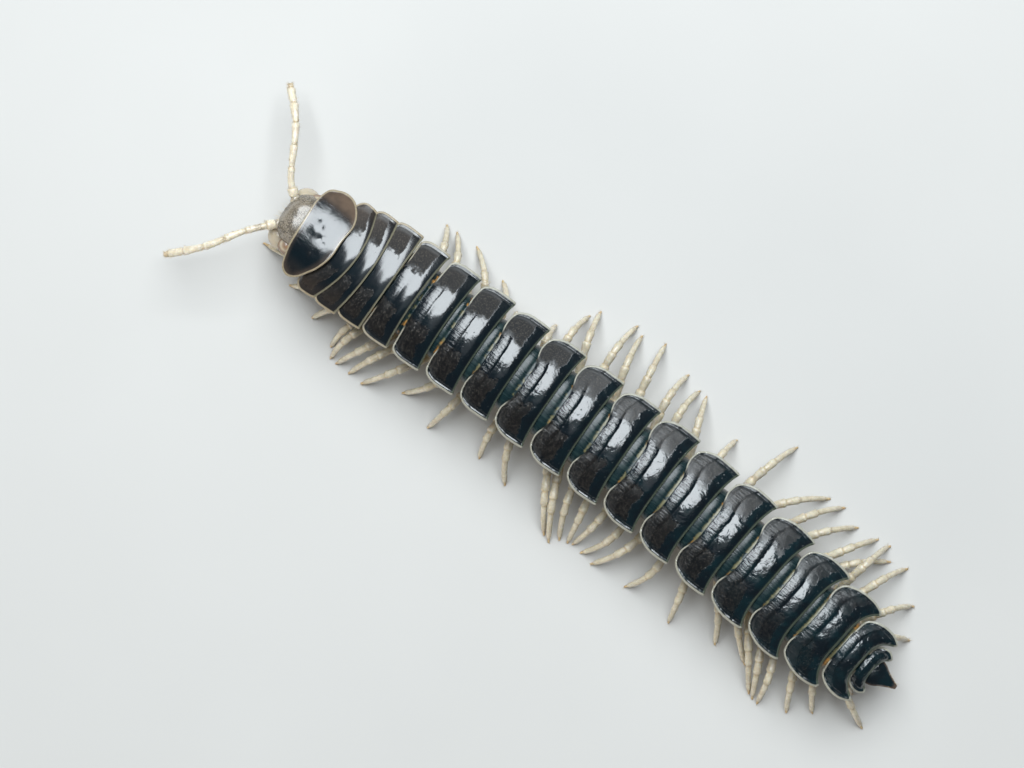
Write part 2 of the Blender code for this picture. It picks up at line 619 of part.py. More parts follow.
def add_legs(frames, finish):
    """All walking legs: single ones on rings 2 to 4, and in twos on each side behind them."""
    gaits = (("left", 1, SWING_LEFT, REACH_LEFT, BEND_LEFT, LIFT_LEFT),
             ("right", -1, SWING_RIGHT, REACH_RIGHT, BEND_RIGHT, LIFT_RIGHT))
    pair = 1
    for number in SINGLE_PAIR_RINGS + DOUBLE_PAIR_RINGS:
        single = number in SINGLE_PAIR_RINGS
        hips = [SINGLE_HIP_U] if single else [between(FRONT_HIP_U, number), between(REAR_HIP_U, number)]
        for word, side, swings, reaches, bends, lifts in gaits:
            pieces = [coxal_pad(frames[number], side, hips)]
            for step, hip_u in enumerate(hips):
                swing = between(swings, pair + step)
                reach = between(reaches, pair + step)
                bend = between(bends, pair + step)
                lift = between(lifts, pair + step)
                pieces.append(leg_mesh(frames[number], side, hip_u, swing, reach, bend, lift))
            kind = "leg" if single else "legs"
            add_node(f"{kind}_{number:02d}_{word}", fuse(pieces), finish)
        pair += len(hips)


def build():
    """Make every node of the animal."""
    frames = ring_frames()
    shell = material("shell", SHELL_COLOUR, 0.2)
    tail = material("tail_shell", WAIST_COLOUR, 0.3)
    pale = material("leg", LEG_COLOUR, 0.4)
    skull = material("head", HEAD_COLOUR, 0.3)
    add_node("head", fuse(head_meshes()), skull)
    add_node("antenna_left", antenna_mesh(ANTENNA_LEFT), pale)
    add_node("antenna_right", antenna_mesh(ANTENNA_RIGHT), pale)
    add_node("collum", fuse([collum_shield(frames[1]), neck_block(frames[1])]), shell)
    for number in range(FIRST_RING, LAST_RING + 1):
        add_node(f"ring_{number:02d}", ring_mesh(frames, number), shell)
    add_node("telson", telson_mesh(frames[LAST_RING]), tail)
    add_legs(frames, pale)


for old_object in list(bpy.data.objects):
    bpy.data.objects.remove(old_object)
BODY = bpy.data.collections.new("millipede")
bpy.context.scene.collection.children.link(BODY)
build()
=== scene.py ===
"""Looks of a still, life-size flat-backed millipede in a walking pose.

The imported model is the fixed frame. Every solid of it is replaced here by a finer piece that
follows the same named sizes: the chain of rings, their plates, the head, the antennae and the
legs. Sizes are in millimetres until a mesh is finished, and then it is scaled to metres.

A ring's own place is given by u ahead of its rear margin, v to the animal's left and z up.
"""

import logging
from dataclasses import dataclass, field, replace
from enum import Enum
from math import atan2, cos, pi, radians, sin
from typing import Callable, Iterable, Sequence

import bmesh
import bpy
import numpy as np
from bmesh.types import BMesh, BMVert
from bpy.types import Material, NodeSocket, NodeTree
from mathutils import Matrix, Vector


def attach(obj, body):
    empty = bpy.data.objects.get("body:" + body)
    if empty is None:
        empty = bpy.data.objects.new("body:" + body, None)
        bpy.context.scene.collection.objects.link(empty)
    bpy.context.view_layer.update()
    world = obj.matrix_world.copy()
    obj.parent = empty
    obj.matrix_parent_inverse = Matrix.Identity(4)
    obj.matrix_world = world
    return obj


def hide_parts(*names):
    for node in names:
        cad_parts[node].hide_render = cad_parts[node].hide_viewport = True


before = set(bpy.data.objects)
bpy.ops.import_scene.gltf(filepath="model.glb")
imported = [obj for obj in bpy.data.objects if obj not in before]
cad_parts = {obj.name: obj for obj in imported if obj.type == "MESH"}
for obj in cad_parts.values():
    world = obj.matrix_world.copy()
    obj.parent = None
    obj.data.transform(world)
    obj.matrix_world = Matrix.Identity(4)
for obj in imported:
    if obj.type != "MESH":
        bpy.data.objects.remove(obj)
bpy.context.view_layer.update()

LOG = logging.getLogger("millipede")
Array = np.ndarray
Line = Callable[[Array], Array]
Keys = dict[float, float]
Pair = tuple[float, float]
Triple = tuple[float, float, float]
Colour = Triple

MM = 0.001
BOX_CENTRE = (2.058, -0.746)
LAST_RING = 19
FIRST_DOUBLE_RING = 5
CREST_GAP = 0.005
AT_EDGE = 0.001
HAIR_FINISH = 1


class Side(Enum):
    """Side of the animal, with the sign that v has there."""

    LEFT = 1
    RIGHT = -1


def between(keys: Keys, at: float) -> float:
    """Value at a ring or pair number, read by straight lines between the keys."""
    return float(np.interp(at, list(keys), list(keys.values())))


def keyed(table: Keys) -> Keys:
    """A table of keys as the default of a dataclass field."""
    return field(default_factory=lambda: dict(table))


def smooth(keys: Keys, at: Array) -> Array:
    """Values read by a smooth curve through the keys, and held beyond them.

    Args:
        keys: value at each place, in rising order of place.
        at: places to read.

    Returns:
        One value for each place.
    """
    places = np.array(list(keys), float)
    values = np.array(list(keys.values()), float)
    slopes = np.gradient(values, places)
    held = np.clip(at, places[0], places[-1])
    i = np.clip(np.searchsorted(places, held, side="right") - 1, 0, len(places) - 2)
    span = places[i + 1] - places[i]
    t = (held - places[i]) / span
    ease = t * t * (3 - 2 * t)
    pull = t * (1 - t) ** 2 * span * slopes[i] - t * t * (1 - t) * span * slopes[i + 1]
    return values[i] + (values[i + 1] - values[i]) * ease + pull


def step(low: float, high: float, at: Array | float) -> Array:
    """Soft step from 0 below low to 1 above high."""
    t = np.clip((at - low) / (high - low), 0.0, 1.0)
    return t * t * (3 - 2 * t)


def ridge(at: Array, middle: float, width: float) -> Array:
    """A soft ridge of height 1 around the middle."""
    return np.exp(-(((at - middle) / width) ** 2))


def unit(arrows: Array) -> Array:
    """Arrows in columns, scaled to length 1 where they aren't zero."""
    return arrows / (np.linalg.norm(arrows, axis=0) + 1e-9)


def squared(at: Array, power: float | Array) -> Array:
    """Coordinates on a unit ball or tube, made fuller by a power under 1."""
    return np.sign(at) * np.abs(at) ** power


def places_of(verts: Sequence[BMVert]) -> Array:
    """Coordinates of some vertices, one row each."""
    return np.array([vert.co for vert in verts], float).reshape(-1, 3)


def place_all(verts: Sequence[BMVert], points: Array) -> None:
    """Move each vertex to its row of points."""
    for vert, point in zip(verts, points):
        vert.co = point


def mark_all(mesh: BMesh, name: str, values: Array, start: int = 0) -> None:
    """Write one number on each vertex from a start on, for the finishes to read by name.

    Args:
        mesh: the mesh.
        name: name of the number.
        values: one number for each vertex.
        start: index of the first vertex that gets one.
    """
    layer = mesh.verts.layers.float.get(name) or mesh.verts.layers.float.new(name)
    mesh.verts.ensure_lookup_table()
    for vert, value in zip(mesh.verts[start:], values):
        vert[layer] = float(value)


def link_new(name: str, data: bpy.types.ID) -> bpy.types.Object:
    """A new object in the scene that holds some data.

    Args:
        name: name of the object.
        data: mesh, light or camera.

    Returns:
        The new object.
    """
    made = bpy.data.objects.new(name, data)
    bpy.context.scene.collection.objects.link(made)
    return made


def add_piece(name: str, mesh: BMesh, finishes: Sequence[Material], nodes: Iterable[str]) -> None:
    """Turn a mesh in millimetres into a finished piece of the animal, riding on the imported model.

    Args:
        name: name of the new object.
        mesh: the shape, which is freed.
        finishes: its material, and the one of its hairs where it has any.
        nodes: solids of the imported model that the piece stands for.
    """
    mesh.transform(Matrix.Scale(MM, 4) @ Matrix.Translation((-BOX_CENTRE[0], -BOX_CENTRE[1], 0.0)))
    data = bpy.data.meshes.new(name)
    mesh.to_mesh(data)
    mesh.free()
    data.shade_smooth()
    for finish in finishes:
        data.materials.append(finish)
    piece = link_new(name, data)
    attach(piece, "root")
    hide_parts(*nodes)
    LOG.info("%s: %d faces", name, len(data.polygons))


def mark_evenly(mesh: BMesh, **values: float) -> None:
    """Write the same number on every vertex, for each name."""
    for name, value in values.items():
        mark_all(mesh, name, np.full(len(mesh.verts), value))


def add_tube(mesh: BMesh, turns: int, stations: int) -> list[BMVert]:
    """Add a closed tube of unit radius about z, from -1 to 1, for a shape to be drawn from.

    Args:
        mesh: the mesh that it is added to.
        turns: vertices around it.
        stations: rings of vertices along it.

    Returns:
        Its vertices.
    """
    before = len(mesh.verts)
    bmesh.ops.create_cone(mesh, cap_ends=True, segments=turns, radius1=1.0, radius2=1.0, depth=2.0)
    # Sorted, so that the vertices come out in the same order each time.
    mesh.edges.index_update()
    added = {edge for vert in mesh.verts[before:] for edge in vert.link_edges}
    longwise = [edge for edge in added if abs(edge.verts[0].co.z - edge.verts[1].co.z) > 1.0]
    longwise.sort(key=lambda edge: edge.index)
    bmesh.ops.subdivide_edges(mesh, edges=longwise, cuts=stations - 2, use_grid_fill=True)
    return mesh.verts[before:]


class Pattern:
    """A number or colour that changes over a surface."""

    def __init__(self, tree: NodeTree, socket: NodeSocket) -> None:
        """Take the socket that gives the value."""
        self.tree = tree
        self.socket = socket

    def feed(self, target: NodeSocket, source: "Pattern | Colour | float") -> None:
        """Link a pattern to a target, or set the target to a plain number or colour.

        Args:
            target: socket that is fed.
            source: pattern, colour or number.
        """
        if isinstance(source, Pattern):
            self.tree.links.new(source.socket, target)
        else:
            target.default_value = (*source, 1.0) if isinstance(source, tuple) else source

    def sum(self, operation: str, other: "Pattern | float" = 0.0) -> "Pattern":
        """The result of a sum with another pattern or a number.

        Args:
            operation: kind of sum, by its name in the node.
            other: what it is worked out with.

        Returns:
            The new pattern.
        """
        node = self.tree.nodes.new("ShaderNodeMath")
        node.operation = operation
        self.feed(node.inputs[0], self)
        self.feed(node.inputs[1], other)
        return Pattern(self.tree, node.outputs["Value"])

    def __add__(self, other: "Pattern | float") -> "Pattern":
        """This and another added."""
        return self.sum("ADD", other)

    def __sub__(self, other: "Pattern | float") -> "Pattern":
        """This less another."""
        return self.sum("SUBTRACT", other)

    def __mul__(self, other: "Pattern | float") -> "Pattern":
        """This times another."""
        return self.sum("MULTIPLY", other)

    def __abs__(self) -> "Pattern":
        """This without its sign."""
        return self.sum("ABSOLUTE")

    def span(self, low: float, high: float, start: float = 0.0, end: float = 1.0) -> "Pattern":
        """Soft change from start, where this is low, to end, where it is high.

        Args:
            low: value where the change starts.
            high: value where it ends.
            start: result at low and before it.
            end: result at high and past it.

        Returns:
            The new pattern.
        """
        node = self.tree.nodes.new("ShaderNodeMapRange")
        node.interpolation_type = "SMOOTHSTEP"
        self.feed(node.inputs["Value"], self)
        for name, number in (("From Min", low), ("From Max", high), ("To Min", start), ("To Max", end)):
            node.inputs[name].default_value = number
        return Pattern(self.tree, node.outputs["Result"])

    def blend(self, first: "Pattern | Colour", second: "Pattern | Colour") -> "Pattern":
        """Colour that goes from the first, where this is 0, to the second, where it is 1.

        Args:
            first: colour where this is 0.
            second: colour where this is 1.

        Returns:
            The new pattern.
        """
        node = self.tree.nodes.new("ShaderNodeMix")
        node.data_type = "RGBA"
        for name, source in (("Factor_Float", self), ("A_Color", first), ("B_Color", second)):
            self.feed(next(socket for socket in node.inputs if socket.identifier == name), source)
        mixed = next(socket for socket in node.outputs if socket.identifier == "Result_Color")
        return Pattern(self.tree, mixed)


class Recipe:
    """One material, with short calls for the patterns that the finishes use."""

    def __init__(self, name: str) -> None:
        """Start a material of that name.

        Args:
            name: name of the material.
        """
        self.material = bpy.data.materials.new(name)
        self.material.use_nodes = True
        self.tree = self.material.node_tree
        self.shader = self.tree.nodes["Principled BSDF"]

    def fixed(self, **values: float | Triple) -> None:
        """Set numbers of the shader, by socket name with _ for a space."""
        for name, value in values.items():
            self.shader.inputs[name.replace("_", " ")].default_value = value

    def drive(self, socket: str, source: Pattern) -> None:
        """Let a pattern drive one socket of the shader."""
        source.feed(self.shader.inputs[socket], source)

    def place(self, stretch: Triple = (1.0, 1.0, 1.0)) -> Pattern:
        """Object coordinates in millimetres, stretched.

        Args:
            stretch: factors on x, y and z.

        Returns:
            The new pattern.
        """
        source = self.tree.nodes.new("ShaderNodeTexCoord")
        scaled = self.tree.nodes.new("ShaderNodeMapping")
        scaled.inputs["Scale"].default_value = tuple(s / MM for s in stretch)
        self.tree.links.new(source.outputs["Object"], scaled.inputs["Vector"])
        return Pattern(self.tree, scaled.outputs["Vector"])

    def mark(self, name: str) -> Pattern:
        """A number that the piece's mesh carries.

        Args:
            name: name of the number.

        Returns:
            The new pattern.
        """
        node = self.tree.nodes.new("ShaderNodeAttribute")
        node.attribute_name = name
        return Pattern(self.tree, node.outputs["Fac"])

    def noise(self, place: Pattern, scale: float, detail: float = 2.0, rough: float = 0.5,
              warp: float = 0.0) -> Pattern:
        """Soft noise from 0 to 1, with scale cells to the millimetre.

        Args:
            place: coordinates.
            scale: cells to the millimetre.
            detail: finer layers.
            rough: strength of the finer layers.
            warp: how far it is bent.

        Returns:
            The new pattern.
        """
        node = self.tree.nodes.new("ShaderNodeTexNoise")
        place.feed(node.inputs["Vector"], place)
        values = {"Scale": scale, "Detail": detail, "Roughness": rough, "Distortion": warp}
        for name, value in values.items():
            node.inputs[name].default_value = value
        return Pattern(self.tree, node.outputs["Fac"])

    def cells(self, place: Pattern, scale: float) -> Pattern:
        """Distance to the nearest of many scattered points, scale of them to the millimetre.

        Args:
            place: coordinates.
            scale: points to the millimetre.

        Returns:
            The new pattern.
        """
        node = self.tree.nodes.new("ShaderNodeTexVoronoi")
        place.feed(node.inputs["Vector"], place)
        node.inputs["Scale"].default_value = scale
        return Pattern(self.tree, node.outputs["Distance"])

    def relief(self, *parts: tuple[Pattern, float]) -> None:
        """Raise and lower the surface by some patterns, each with its full height in millimetres."""
        last = None
        for height, depth in parts:
            node = self.tree.nodes.new("ShaderNodeBump")
            node.inputs["Strength"].default_value = 1.0
            node.inputs["Distance"].default_value = depth * MM
            height.feed(node.inputs["Height"], height)
            if last is not None:
                self.tree.links.new(last, node.inputs["Normal"])
            last = node.outputs["Normal"]
        self.tree.links.new(last, self.shader.inputs["Normal"])


@dataclass(frozen=True)
class PlateFinish:
    """Wet-looking dark back plates with matte brown stippled sides and pale rims.

    The mesh carries side, rear and front, the distances in millimetres from its margins, the
    shares across and along, amber where it is thin and brown, stippled where it may have brown
    patches, pale and backward, which grow along the animal, rugged, the share of its wrinkles,
    and under, which is 1 on the lower face.
    """

    navy: Colour = (0.0026, 0.0058, 0.0086)
    teal: Colour = (0.0026, 0.0130, 0.0170)
    brown: Colour = (0.0022, 0.0024, 0.0028)
    stipple: Colour = (0.048, 0.041, 0.033)
    thin: Colour = (0.115, 0.080, 0.057)
    front_rim: Colour = (0.27, 0.22, 0.145)
    back_rim: Colour = (0.31, 0.30, 0.245)
    sand: Colour = (0.175, 0.160, 0.108)
    olive: Colour = (0.058, 0.070, 0.050)
    underside: Colour = (0.20, 0.165, 0.115)
    gloss: float = 0.15
    matte: float = 0.27
    hazy: float = 0.95
    hazy_behind: float = 0.42
    lobe_dulling: float = 0.05
    tail_dulling: float = 0.03
    wear: float = 0.08
    side_rim_width: float = 0.155
    front_rim_width: float = 0.10
    rear_rim_width: float = 0.16
    grains_per_mm: float = 11.0
    pits_per_mm: float = 2.6
    rib_stretch: Triple = (0.5, 3.0, 1.0)
    dent_depth: float = 0.065
    rib_depth: float = 0.058
    pit_depth: float = 0.020
    grain_depth: float = 0.006

    def make(self) -> Material:
        """The material for the collum and the ring plates.

        Returns:
            The finished material.
        """
        recipe = Recipe("glossy_plate")
        place = recipe.place()
        sideways = recipe.mark("across")
        across = abs(sideways)
        along = recipe.mark("along")
        backward = recipe.mark("backward")
        rugged = recipe.mark("rugged")
        broad = recipe.noise(place, 0.9, 3.0)
        fine = recipe.noise(place, 7.0, 3.0, 0.6)

        ragged = broad * 0.50 + fine * 0.16
        outward = (sideways * 0.22 + across + ragged).span(0.64, 0.76)
        outward = outward * across.span(0.84, 0.96, 1.0, 0.2)
        forward = (along + ragged * 0.9).span(0.58, 0.64)
        patch = outward * forward * recipe.mark("stippled")
        grains = recipe.cells(place, self.grains_per_mm).span(0.48, 0.24)
        grains = grains * fine.span(0.38, 0.58, 0.25, 1.0)
        dark = (broad.span(0.35, 0.7) * (backward + 0.25)).blend(self.navy, self.teal)
        colour = patch.blend(dark, grains.blend(self.brown, self.stipple))
        colour = (recipe.mark("amber") * broad.span(0.25, 0.60, 0.45, 1.0)).blend(colour, self.thin)

        pale = recipe.mark("pale")
        worn = fine * 0.05 - 0.025
        side_rim = (recipe.mark("side") + worn).span(self.side_rim_width, 0.10)
        front_rim = (recipe.mark("front") + worn).span(self.front_rim_width, 0.06)
        front_rim = front_rim * across.span(0.50, 0.66)
        rear_depth = recipe.mark("rear") + worn - (backward * 0.05 + self.rear_rim_width)
        rear_rim = rear_depth.span(0.0, -0.11)
        rim_colour = pale.blend(self.front_rim, self.back_rim)
        colour = rear_rim.blend(colour, pale.blend(self.sand, self.olive))
        colour = front_rim.blend(colour, rim_colour)
        colour = side_rim.blend(colour, rim_colour)
        recipe.drive("Base Color", recipe.mark("under").span(0.5, 0.9).blend(colour, self.underside))

        haze = backward.span(0.02, 0.32, self.hazy - self.matte, self.hazy_behind - self.matte)
        matte = haze * sideways.span(0.1, -0.1) + (self.matte - self.gloss)
        front_lobe = along.span(0.64, 0.72) * along.span(0.93, 0.97, 1.0, 0.0) * rugged
        rough = backward.span(0.65, 1.0, self.gloss, self.gloss + self.tail_dulling) + patch * matte
        rough = rough + front_lobe * self.lobe_dulling + fine * self.wear
        recipe.drive("Roughness", rough + side_rim.sum("MAXIMUM", rear_rim) * self.wear)

        ribs = recipe.noise(recipe.place(self.rib_stretch), 2.2, 3.0, 0.6, 0.4)
        dents = (recipe.noise(place, 1.5, 3.0, 0.5, 0.5) - 0.5) * (backward * 0.7 + 1.0)
        pits = recipe.cells(place, self.pits_per_mm).span(0.0, 0.16)
        calmed = rugged * (patch * -0.75 + 1.0)
        ribs = ribs * (along.span(0.60, 0.70) * rugged)
        recipe.relief((dents * calmed, self.dent_depth), (ribs, self.rib_depth),
                      (pits * calmed, self.pit_depth), (grains * patch, self.grain_depth))
        recipe.fixed(IOR=1.8)
        return recipe.material


@dataclass(frozen=True)
class BodyFinish:
    """Satin skin of the waist and the sides: teal above with an ochre line, pale below.

    The mesh carries ahead, the distance in millimetres in front of the plate, height, outer, the
    distance from the middle as a share, and ochre, the strength of the line.
    """

    teal: Colour = (0.0055, 0.0165, 0.0190)
    streak: Colour = (0.0150, 0.0320, 0.0320)
    ochre: Colour = (0.120, 0.110, 0.055)
    orange: Colour = (0.340, 0.170, 0.045)
    flank: Colour = (0.060, 0.052, 0.038)
    belly: Colour = (0.42, 0.35, 0.24)
    streak_stretch: Triple = (0.35, 3.0, 1.0)
    line_ahead: float = 0.20
    line_half_width: float = 0.16
    streak_depth: float = 0.018
    grain_depth: float = 0.008

    def make(self) -> Material:
        """The material for the body below and between the plates.

        Returns:
            The finished material.
        """
        recipe = Recipe("satin_body")
        place = recipe.place()
        streaks = recipe.noise(recipe.place(self.streak_stretch), 2.2, 3.0, 0.6)
        fine = recipe.noise(place, 6.0, 3.0, 0.6)
        blotches = recipe.noise(place, 2.0, 3.0)
        height = recipe.mark("height")
        line = abs(recipe.mark("ahead") + fine * 0.26 - self.line_ahead).span(self.line_half_width, 0.02)
        broken = (blotches + recipe.mark("ochre")).span(0.60, 0.70)
        tint = (blotches * recipe.mark("outer")).span(0.26, 0.42).blend(self.ochre, self.orange)
        top = (line * broken).blend(streaks.span(0.45, 0.75).blend(self.teal, self.streak), tint)
        low = height.span(0.18, 0.45).blend(self.belly, self.flank)
        low = fine.span(0.55, 0.75, 0.0, 0.35).blend(low, self.flank)
        recipe.drive("Base Color", height.span(0.55, 0.80).blend(low, top))
        recipe.drive("Roughness", streaks.span(0.3, 0.8, 0.24, 0.40))
        recipe.relief((streaks, self.streak_depth), (fine, self.grain_depth))
        recipe.fixed(IOR=1.5)
        return recipe.material


@dataclass(frozen=True)
class LimbFinish:
    """Translucent cream skin of the legs or antennae, amber at the joints and the tip.

    The mesh carries share, which runs from 0 at the root to 1 at the tip, joint, which is 1 at
    each joint, and stain, which is 1 on a brown mark.
    """

    name: str
    skin: Colour
    pale: Colour
    amber: Colour
    tip: Colour
    tip_from: float = 0.945
    smoothest: float = 0.22
    roughest: float = 0.36
    stained: Colour = (0.075, 0.038, 0.022)
    lump_depth: float = 0.03
    grain_depth: float = 0.006

    def make(self) -> Material:
        """The material for one kind of limb.

        Returns:
            The finished material.
        """
        recipe = Recipe(self.name)
        place = recipe.place()
        cloud = recipe.noise(place, 3.0, 3.0)
        fine = recipe.noise(place, 12.0)
        colour = cloud.span(0.35, 0.7).blend(self.skin, self.pale)
        tip = (recipe.mark("share") + cloud * 0.05).span(self.tip_from, 1.02)
        band = recipe.mark("joint") * cloud.span(0.3, 0.6, 0.2, 0.65)
        stain = recipe.mark("stain") * fine.span(0.35, 0.55)
        for share, tint in ((tip, self.tip), (band, self.amber), (stain, self.stained)):
            colour = share.blend(colour, tint)
        recipe.drive("Base Color", colour)
        recipe.drive("Roughness", fine.span(0.3, 0.7, self.smoothest, self.roughest))
        recipe.relief((recipe.noise(place, 5.0, 3.0), self.lump_depth), (fine, self.grain_depth))
        recipe.fixed(Subsurface_Weight=0.35, Subsurface_Scale=0.00025, Subsurface_Radius=(1.0, 0.7, 0.35))
        recipe.fixed(IOR=1.5)
        return recipe.material


@dataclass(frozen=True)
class HeadFinish:
    """Translucent olive-grey head, stippled, with cream cheeks and brownish hind lobes.

    The mesh carries cheek, which is 1 on the cheeks, the antenna sockets and the mouth, amber, which is 1
    on the hind lobes, edge, which is 1 on pale seams, and spot, 1 on a painted orange glint, a leaf's
    reflection.
    """

    olive: Colour = (0.230, 0.197, 0.155)
    stipple: Colour = (0.080, 0.067, 0.052)
    cream: Colour = (0.42, 0.36, 0.27)
    amber: Colour = (0.215, 0.140, 0.092)
    # Colour of a painted orange glint that stands for a leaf's reflection.
    spot: Colour = (0.75, 0.30, 0.09)
    stipple_strength: float = 0.85
    lump_depth: float = 0.025
    dot_depth: float = 0.003

    def make(self) -> Material:
        """The material for the head.

        Returns:
            The finished material.
        """
        recipe = Recipe("glossy_head")
        place = recipe.place()
        dots = recipe.noise(place, 11.0, 2.0, 0.75)
        broad = recipe.noise(place, 1.2)
        spotted = (dots - broad.span(0.40, 0.62, 0.54, 0.42)).span(0.0, 0.05)
        colour = (spotted * self.stipple_strength).blend(self.olive, self.stipple)
        # The last mark paints an orange glint, a leaf's reflection, into the colour.
        marked = (("amber", self.amber), ("cheek", self.cream), ("edge", self.cream), ("spot", self.spot))
        for mark, tint in marked:
            colour = recipe.mark(mark).blend(colour, tint)
        recipe.drive("Base Color", colour)
        recipe.drive("Roughness", broad.span(0.3, 0.7, 0.15, 0.24))
        recipe.relief((recipe.noise(place, 2.5, 3.0), self.lump_depth), (dots, self.dot_depth))
        recipe.fixed(Subsurface_Weight=0.25, Subsurface_Scale=0.0003, Subsurface_Radius=(1.0, 0.75, 0.4))
        recipe.fixed(IOR=1.6)
        return recipe.material


@dataclass(frozen=True)
class HairFinish:
    """Fine golden hairs."""

    colour: Colour = (0.62, 0.50, 0.30)
    darker: Colour = (0.434, 0.35, 0.21)

    def make(self) -> Material:
        """The material for single hairs.

        Returns:
            The finished material.
        """
        recipe = Recipe("golden_hair")
        tone = recipe.noise(recipe.place(), 2.0)
        recipe.drive("Base Color", tone.blend(self.darker, self.colour))
        recipe.drive("Roughness", tone.span(0.3, 0.7, 0.3, 0.45))
        return recipe.material


@dataclass(frozen=True)
class RingPlace:
    """Place and heading of one ring, at the middle of its rear margin."""

    number: int
    x: float
    y: float
    heading: float

    def points(self, u: Array, v: Array, z: Array) -> Array:
        """World points of places u ahead, v to the left and z up, one row each.

        Args:
            u: places ahead.
            v: places across, to the left.
            z: heights.

        Returns:
            World points, one row each.
        """
        ahead = cos(self.heading)
        aside = sin(self.heading)
        x = self.x + u * ahead - v * aside
        y = self.y + u * aside + v * ahead
        return np.stack((x, y, z + 0.0 * u), axis=-1)

    def point(self, u: float, v: float, z: float) -> Vector:
        """World point of one place."""
        return Vector(self.points(np.array(u), np.array(v), np.array(z)))

    def inside(self, points: Array) -> tuple[Array, Array]:
        """The u and v of world points.

        Args:
            points: world points, one row each.

        Returns:
            Their u and their v.
        """
        dx = points[..., 0] - self.x
        dy = points[..., 1] - self.y
        ahead = cos(self.heading)
        aside = sin(self.heading)
        return dx * ahead + dy * aside, -dx * aside + dy * ahead


@dataclass
class Chain:
    """The row of rings from the collum to ring 19, and the margins where they meet."""

    collum_rear: Pair = (20.04, -0.10)
    step_back: Keys = keyed({
        2: 1.40, 3: 1.16, 4: 1.42, 5: 1.85, 6: 2.39, 7: 2.60, 9: 2.76, 10: 2.90, 11: 2.88, 13: 3.02,
        15: 3.01, 16: 2.87, 17: 2.87, 18: 1.89, 19: 0.98})
    sway_at_x: Keys = keyed({
        -24.3: -0.05, -22.0: 0.0, -19.7: -0.20, -17.0: -0.38, -11.0: -0.84, -5.0: -1.12, 0.8: -1.06,
        9.0: -0.92, 16.0: -0.62, 18.6: -0.22, 20.1: -0.10, 24.3: 0.05})
    heading_deg: Keys = keyed({
        1: -3.5, 2: 0.5, 3: 2.5, 6: 3.0, 11: 2.5, 12: 1.2, 13: -1.3, 16: -4.0, 17: -3.6, 19: -3.0})
    width: Keys = keyed({
        2: 6.90, 3: 7.14, 4: 7.18, 8: 7.14, 12: 7.40, 14: 7.48, 15: 7.42, 16: 7.26, 17: 6.76, 18: 5.40,
        19: 3.40})
    rear_corner_inset: Keys = keyed({
        2: 0.03, 3: 0.01, 8: 0.01, 12: 0.015, 14: 0.025, 15: 0.035, 16: 0.045, 17: 0.10, 18: 0.165,
        19: 0.22})
    corner_drawn_back: Keys = keyed({
        2: -0.81, 3: -0.44, 4: -0.06, 5: 0.19, 9: 0.28, 13: 0.41, 14: 0.48, 15: 0.68, 16: 0.88, 17: 1.08,
        18: 1.32, 19: 0.67})
    rear_power: Keys = keyed({2: 2.0, 4: 2.0, 7: 2.6, 13: 3.0, 16: 3.5, 18: 3.7, 19: 2.8})
    waist_length: Keys = keyed({
        2: -0.14, 4: -0.14, 5: 0.06, 6: 0.30, 7: 0.52, 9: 0.78, 16: 0.78, 17: 0.66, 18: 0.30, 19: 0.10})
    front_dip: Keys = keyed({2: 0.30, 4: 0.31, 5: 0.28, 6: 0.16, 7: 0.08, 9: 0.05, 18: 0.05, 19: 0.10})
    crest: Keys = keyed({
        1: 5.45, 2: 5.50, 3: 5.56, 4: 5.63, 5: 5.69, 8: 5.75, 14: 5.75, 16: 5.60, 17: 5.40, 18: 5.00,
        19: 4.45})
    edge: Keys = keyed({1: 4.10, 2: 4.25, 4: 4.45, 14: 4.45, 16: 4.35, 17: 4.20, 18: 3.95, 19: 3.60})
    single_hip_u: float = 0.45
    front_hip_u: Keys = keyed({5: 1.20, 6: 1.40, 7: 1.60, 16: 1.60, 17: 1.50, 18: 1.15})
    rear_hip_u: Keys = keyed({5: 0.30, 6: 0.45, 7: 0.60, 16: 0.60, 17: 0.50, 18: 0.25})
    side_waist_length: float = 0.36
    swell_share: Keys = keyed({0.0: 0.0, 0.30: 0.05, 0.66: 1.0, 0.80: 0.85, 0.90: 0.40, 1.0: 0.0})
    collum_front: Keys = keyed({
        -3.15: 1.60, -2.95: 2.38, -2.45: 2.92, -1.90: 3.01, -0.50: 2.84, 0.90: 2.61, 2.20: 2.28,
        2.95: 1.95, 3.24: 1.40})
    collum_rear_u: Keys = keyed({
        -3.15: 1.60, -2.85: 0.85, -2.45: 0.42, -1.85: 0.15, -0.60: 0.03, 0.55: -0.11, 1.70: 0.13,
        2.35: 0.46, 2.85: 0.76, 3.24: 1.40})
    collum_rear_followed: Pair = (-2.85, 2.60)
    places: dict[int, RingPlace] = field(init=False)

    def __post_init__(self) -> None:
        """Lay the rings one behind another."""
        x = self.collum_rear[0]
        self.places = {1: RingPlace(1, x, self.collum_rear[1], radians(between(self.heading_deg, 1)))}
        for number in range(2, LAST_RING + 1):
            heading = radians(between(self.heading_deg, number))
            x -= between(self.step_back, number) * cos(heading)
            self.places[number] = RingPlace(number, x, between(self.sway_at_x, x), heading)

    def hips(self, number: int) -> list[float]:
        """How far ahead of the ring's place its hips lie, front pair first.

        Args:
            number: number of the ring.

        Returns:
            The u of each pair of hips.
        """
        if number == LAST_RING:
            return []
        if number < FIRST_DOUBLE_RING:
            return [self.single_hip_u]
        return [between(self.front_hip_u, number), between(self.rear_hip_u, number)]

    def rear(self, number: int, v: Array) -> Array:
        """How far ahead of the ring's place its rear margin lies at v.

        Args:
            number: number of the ring.
            v: places across, to the left.

        Returns:
            The u of the margin.
        """
        if number == 1:
            return smooth(self.collum_rear_u, np.clip(v, *self.collum_rear_followed))
        corner = between(self.width, number) / 2 * (1 - between(self.rear_corner_inset, number))
        share = np.minimum(np.abs(v) / corner, 1.0)
        return -between(self.corner_drawn_back, number) * share ** between(self.rear_power, number)

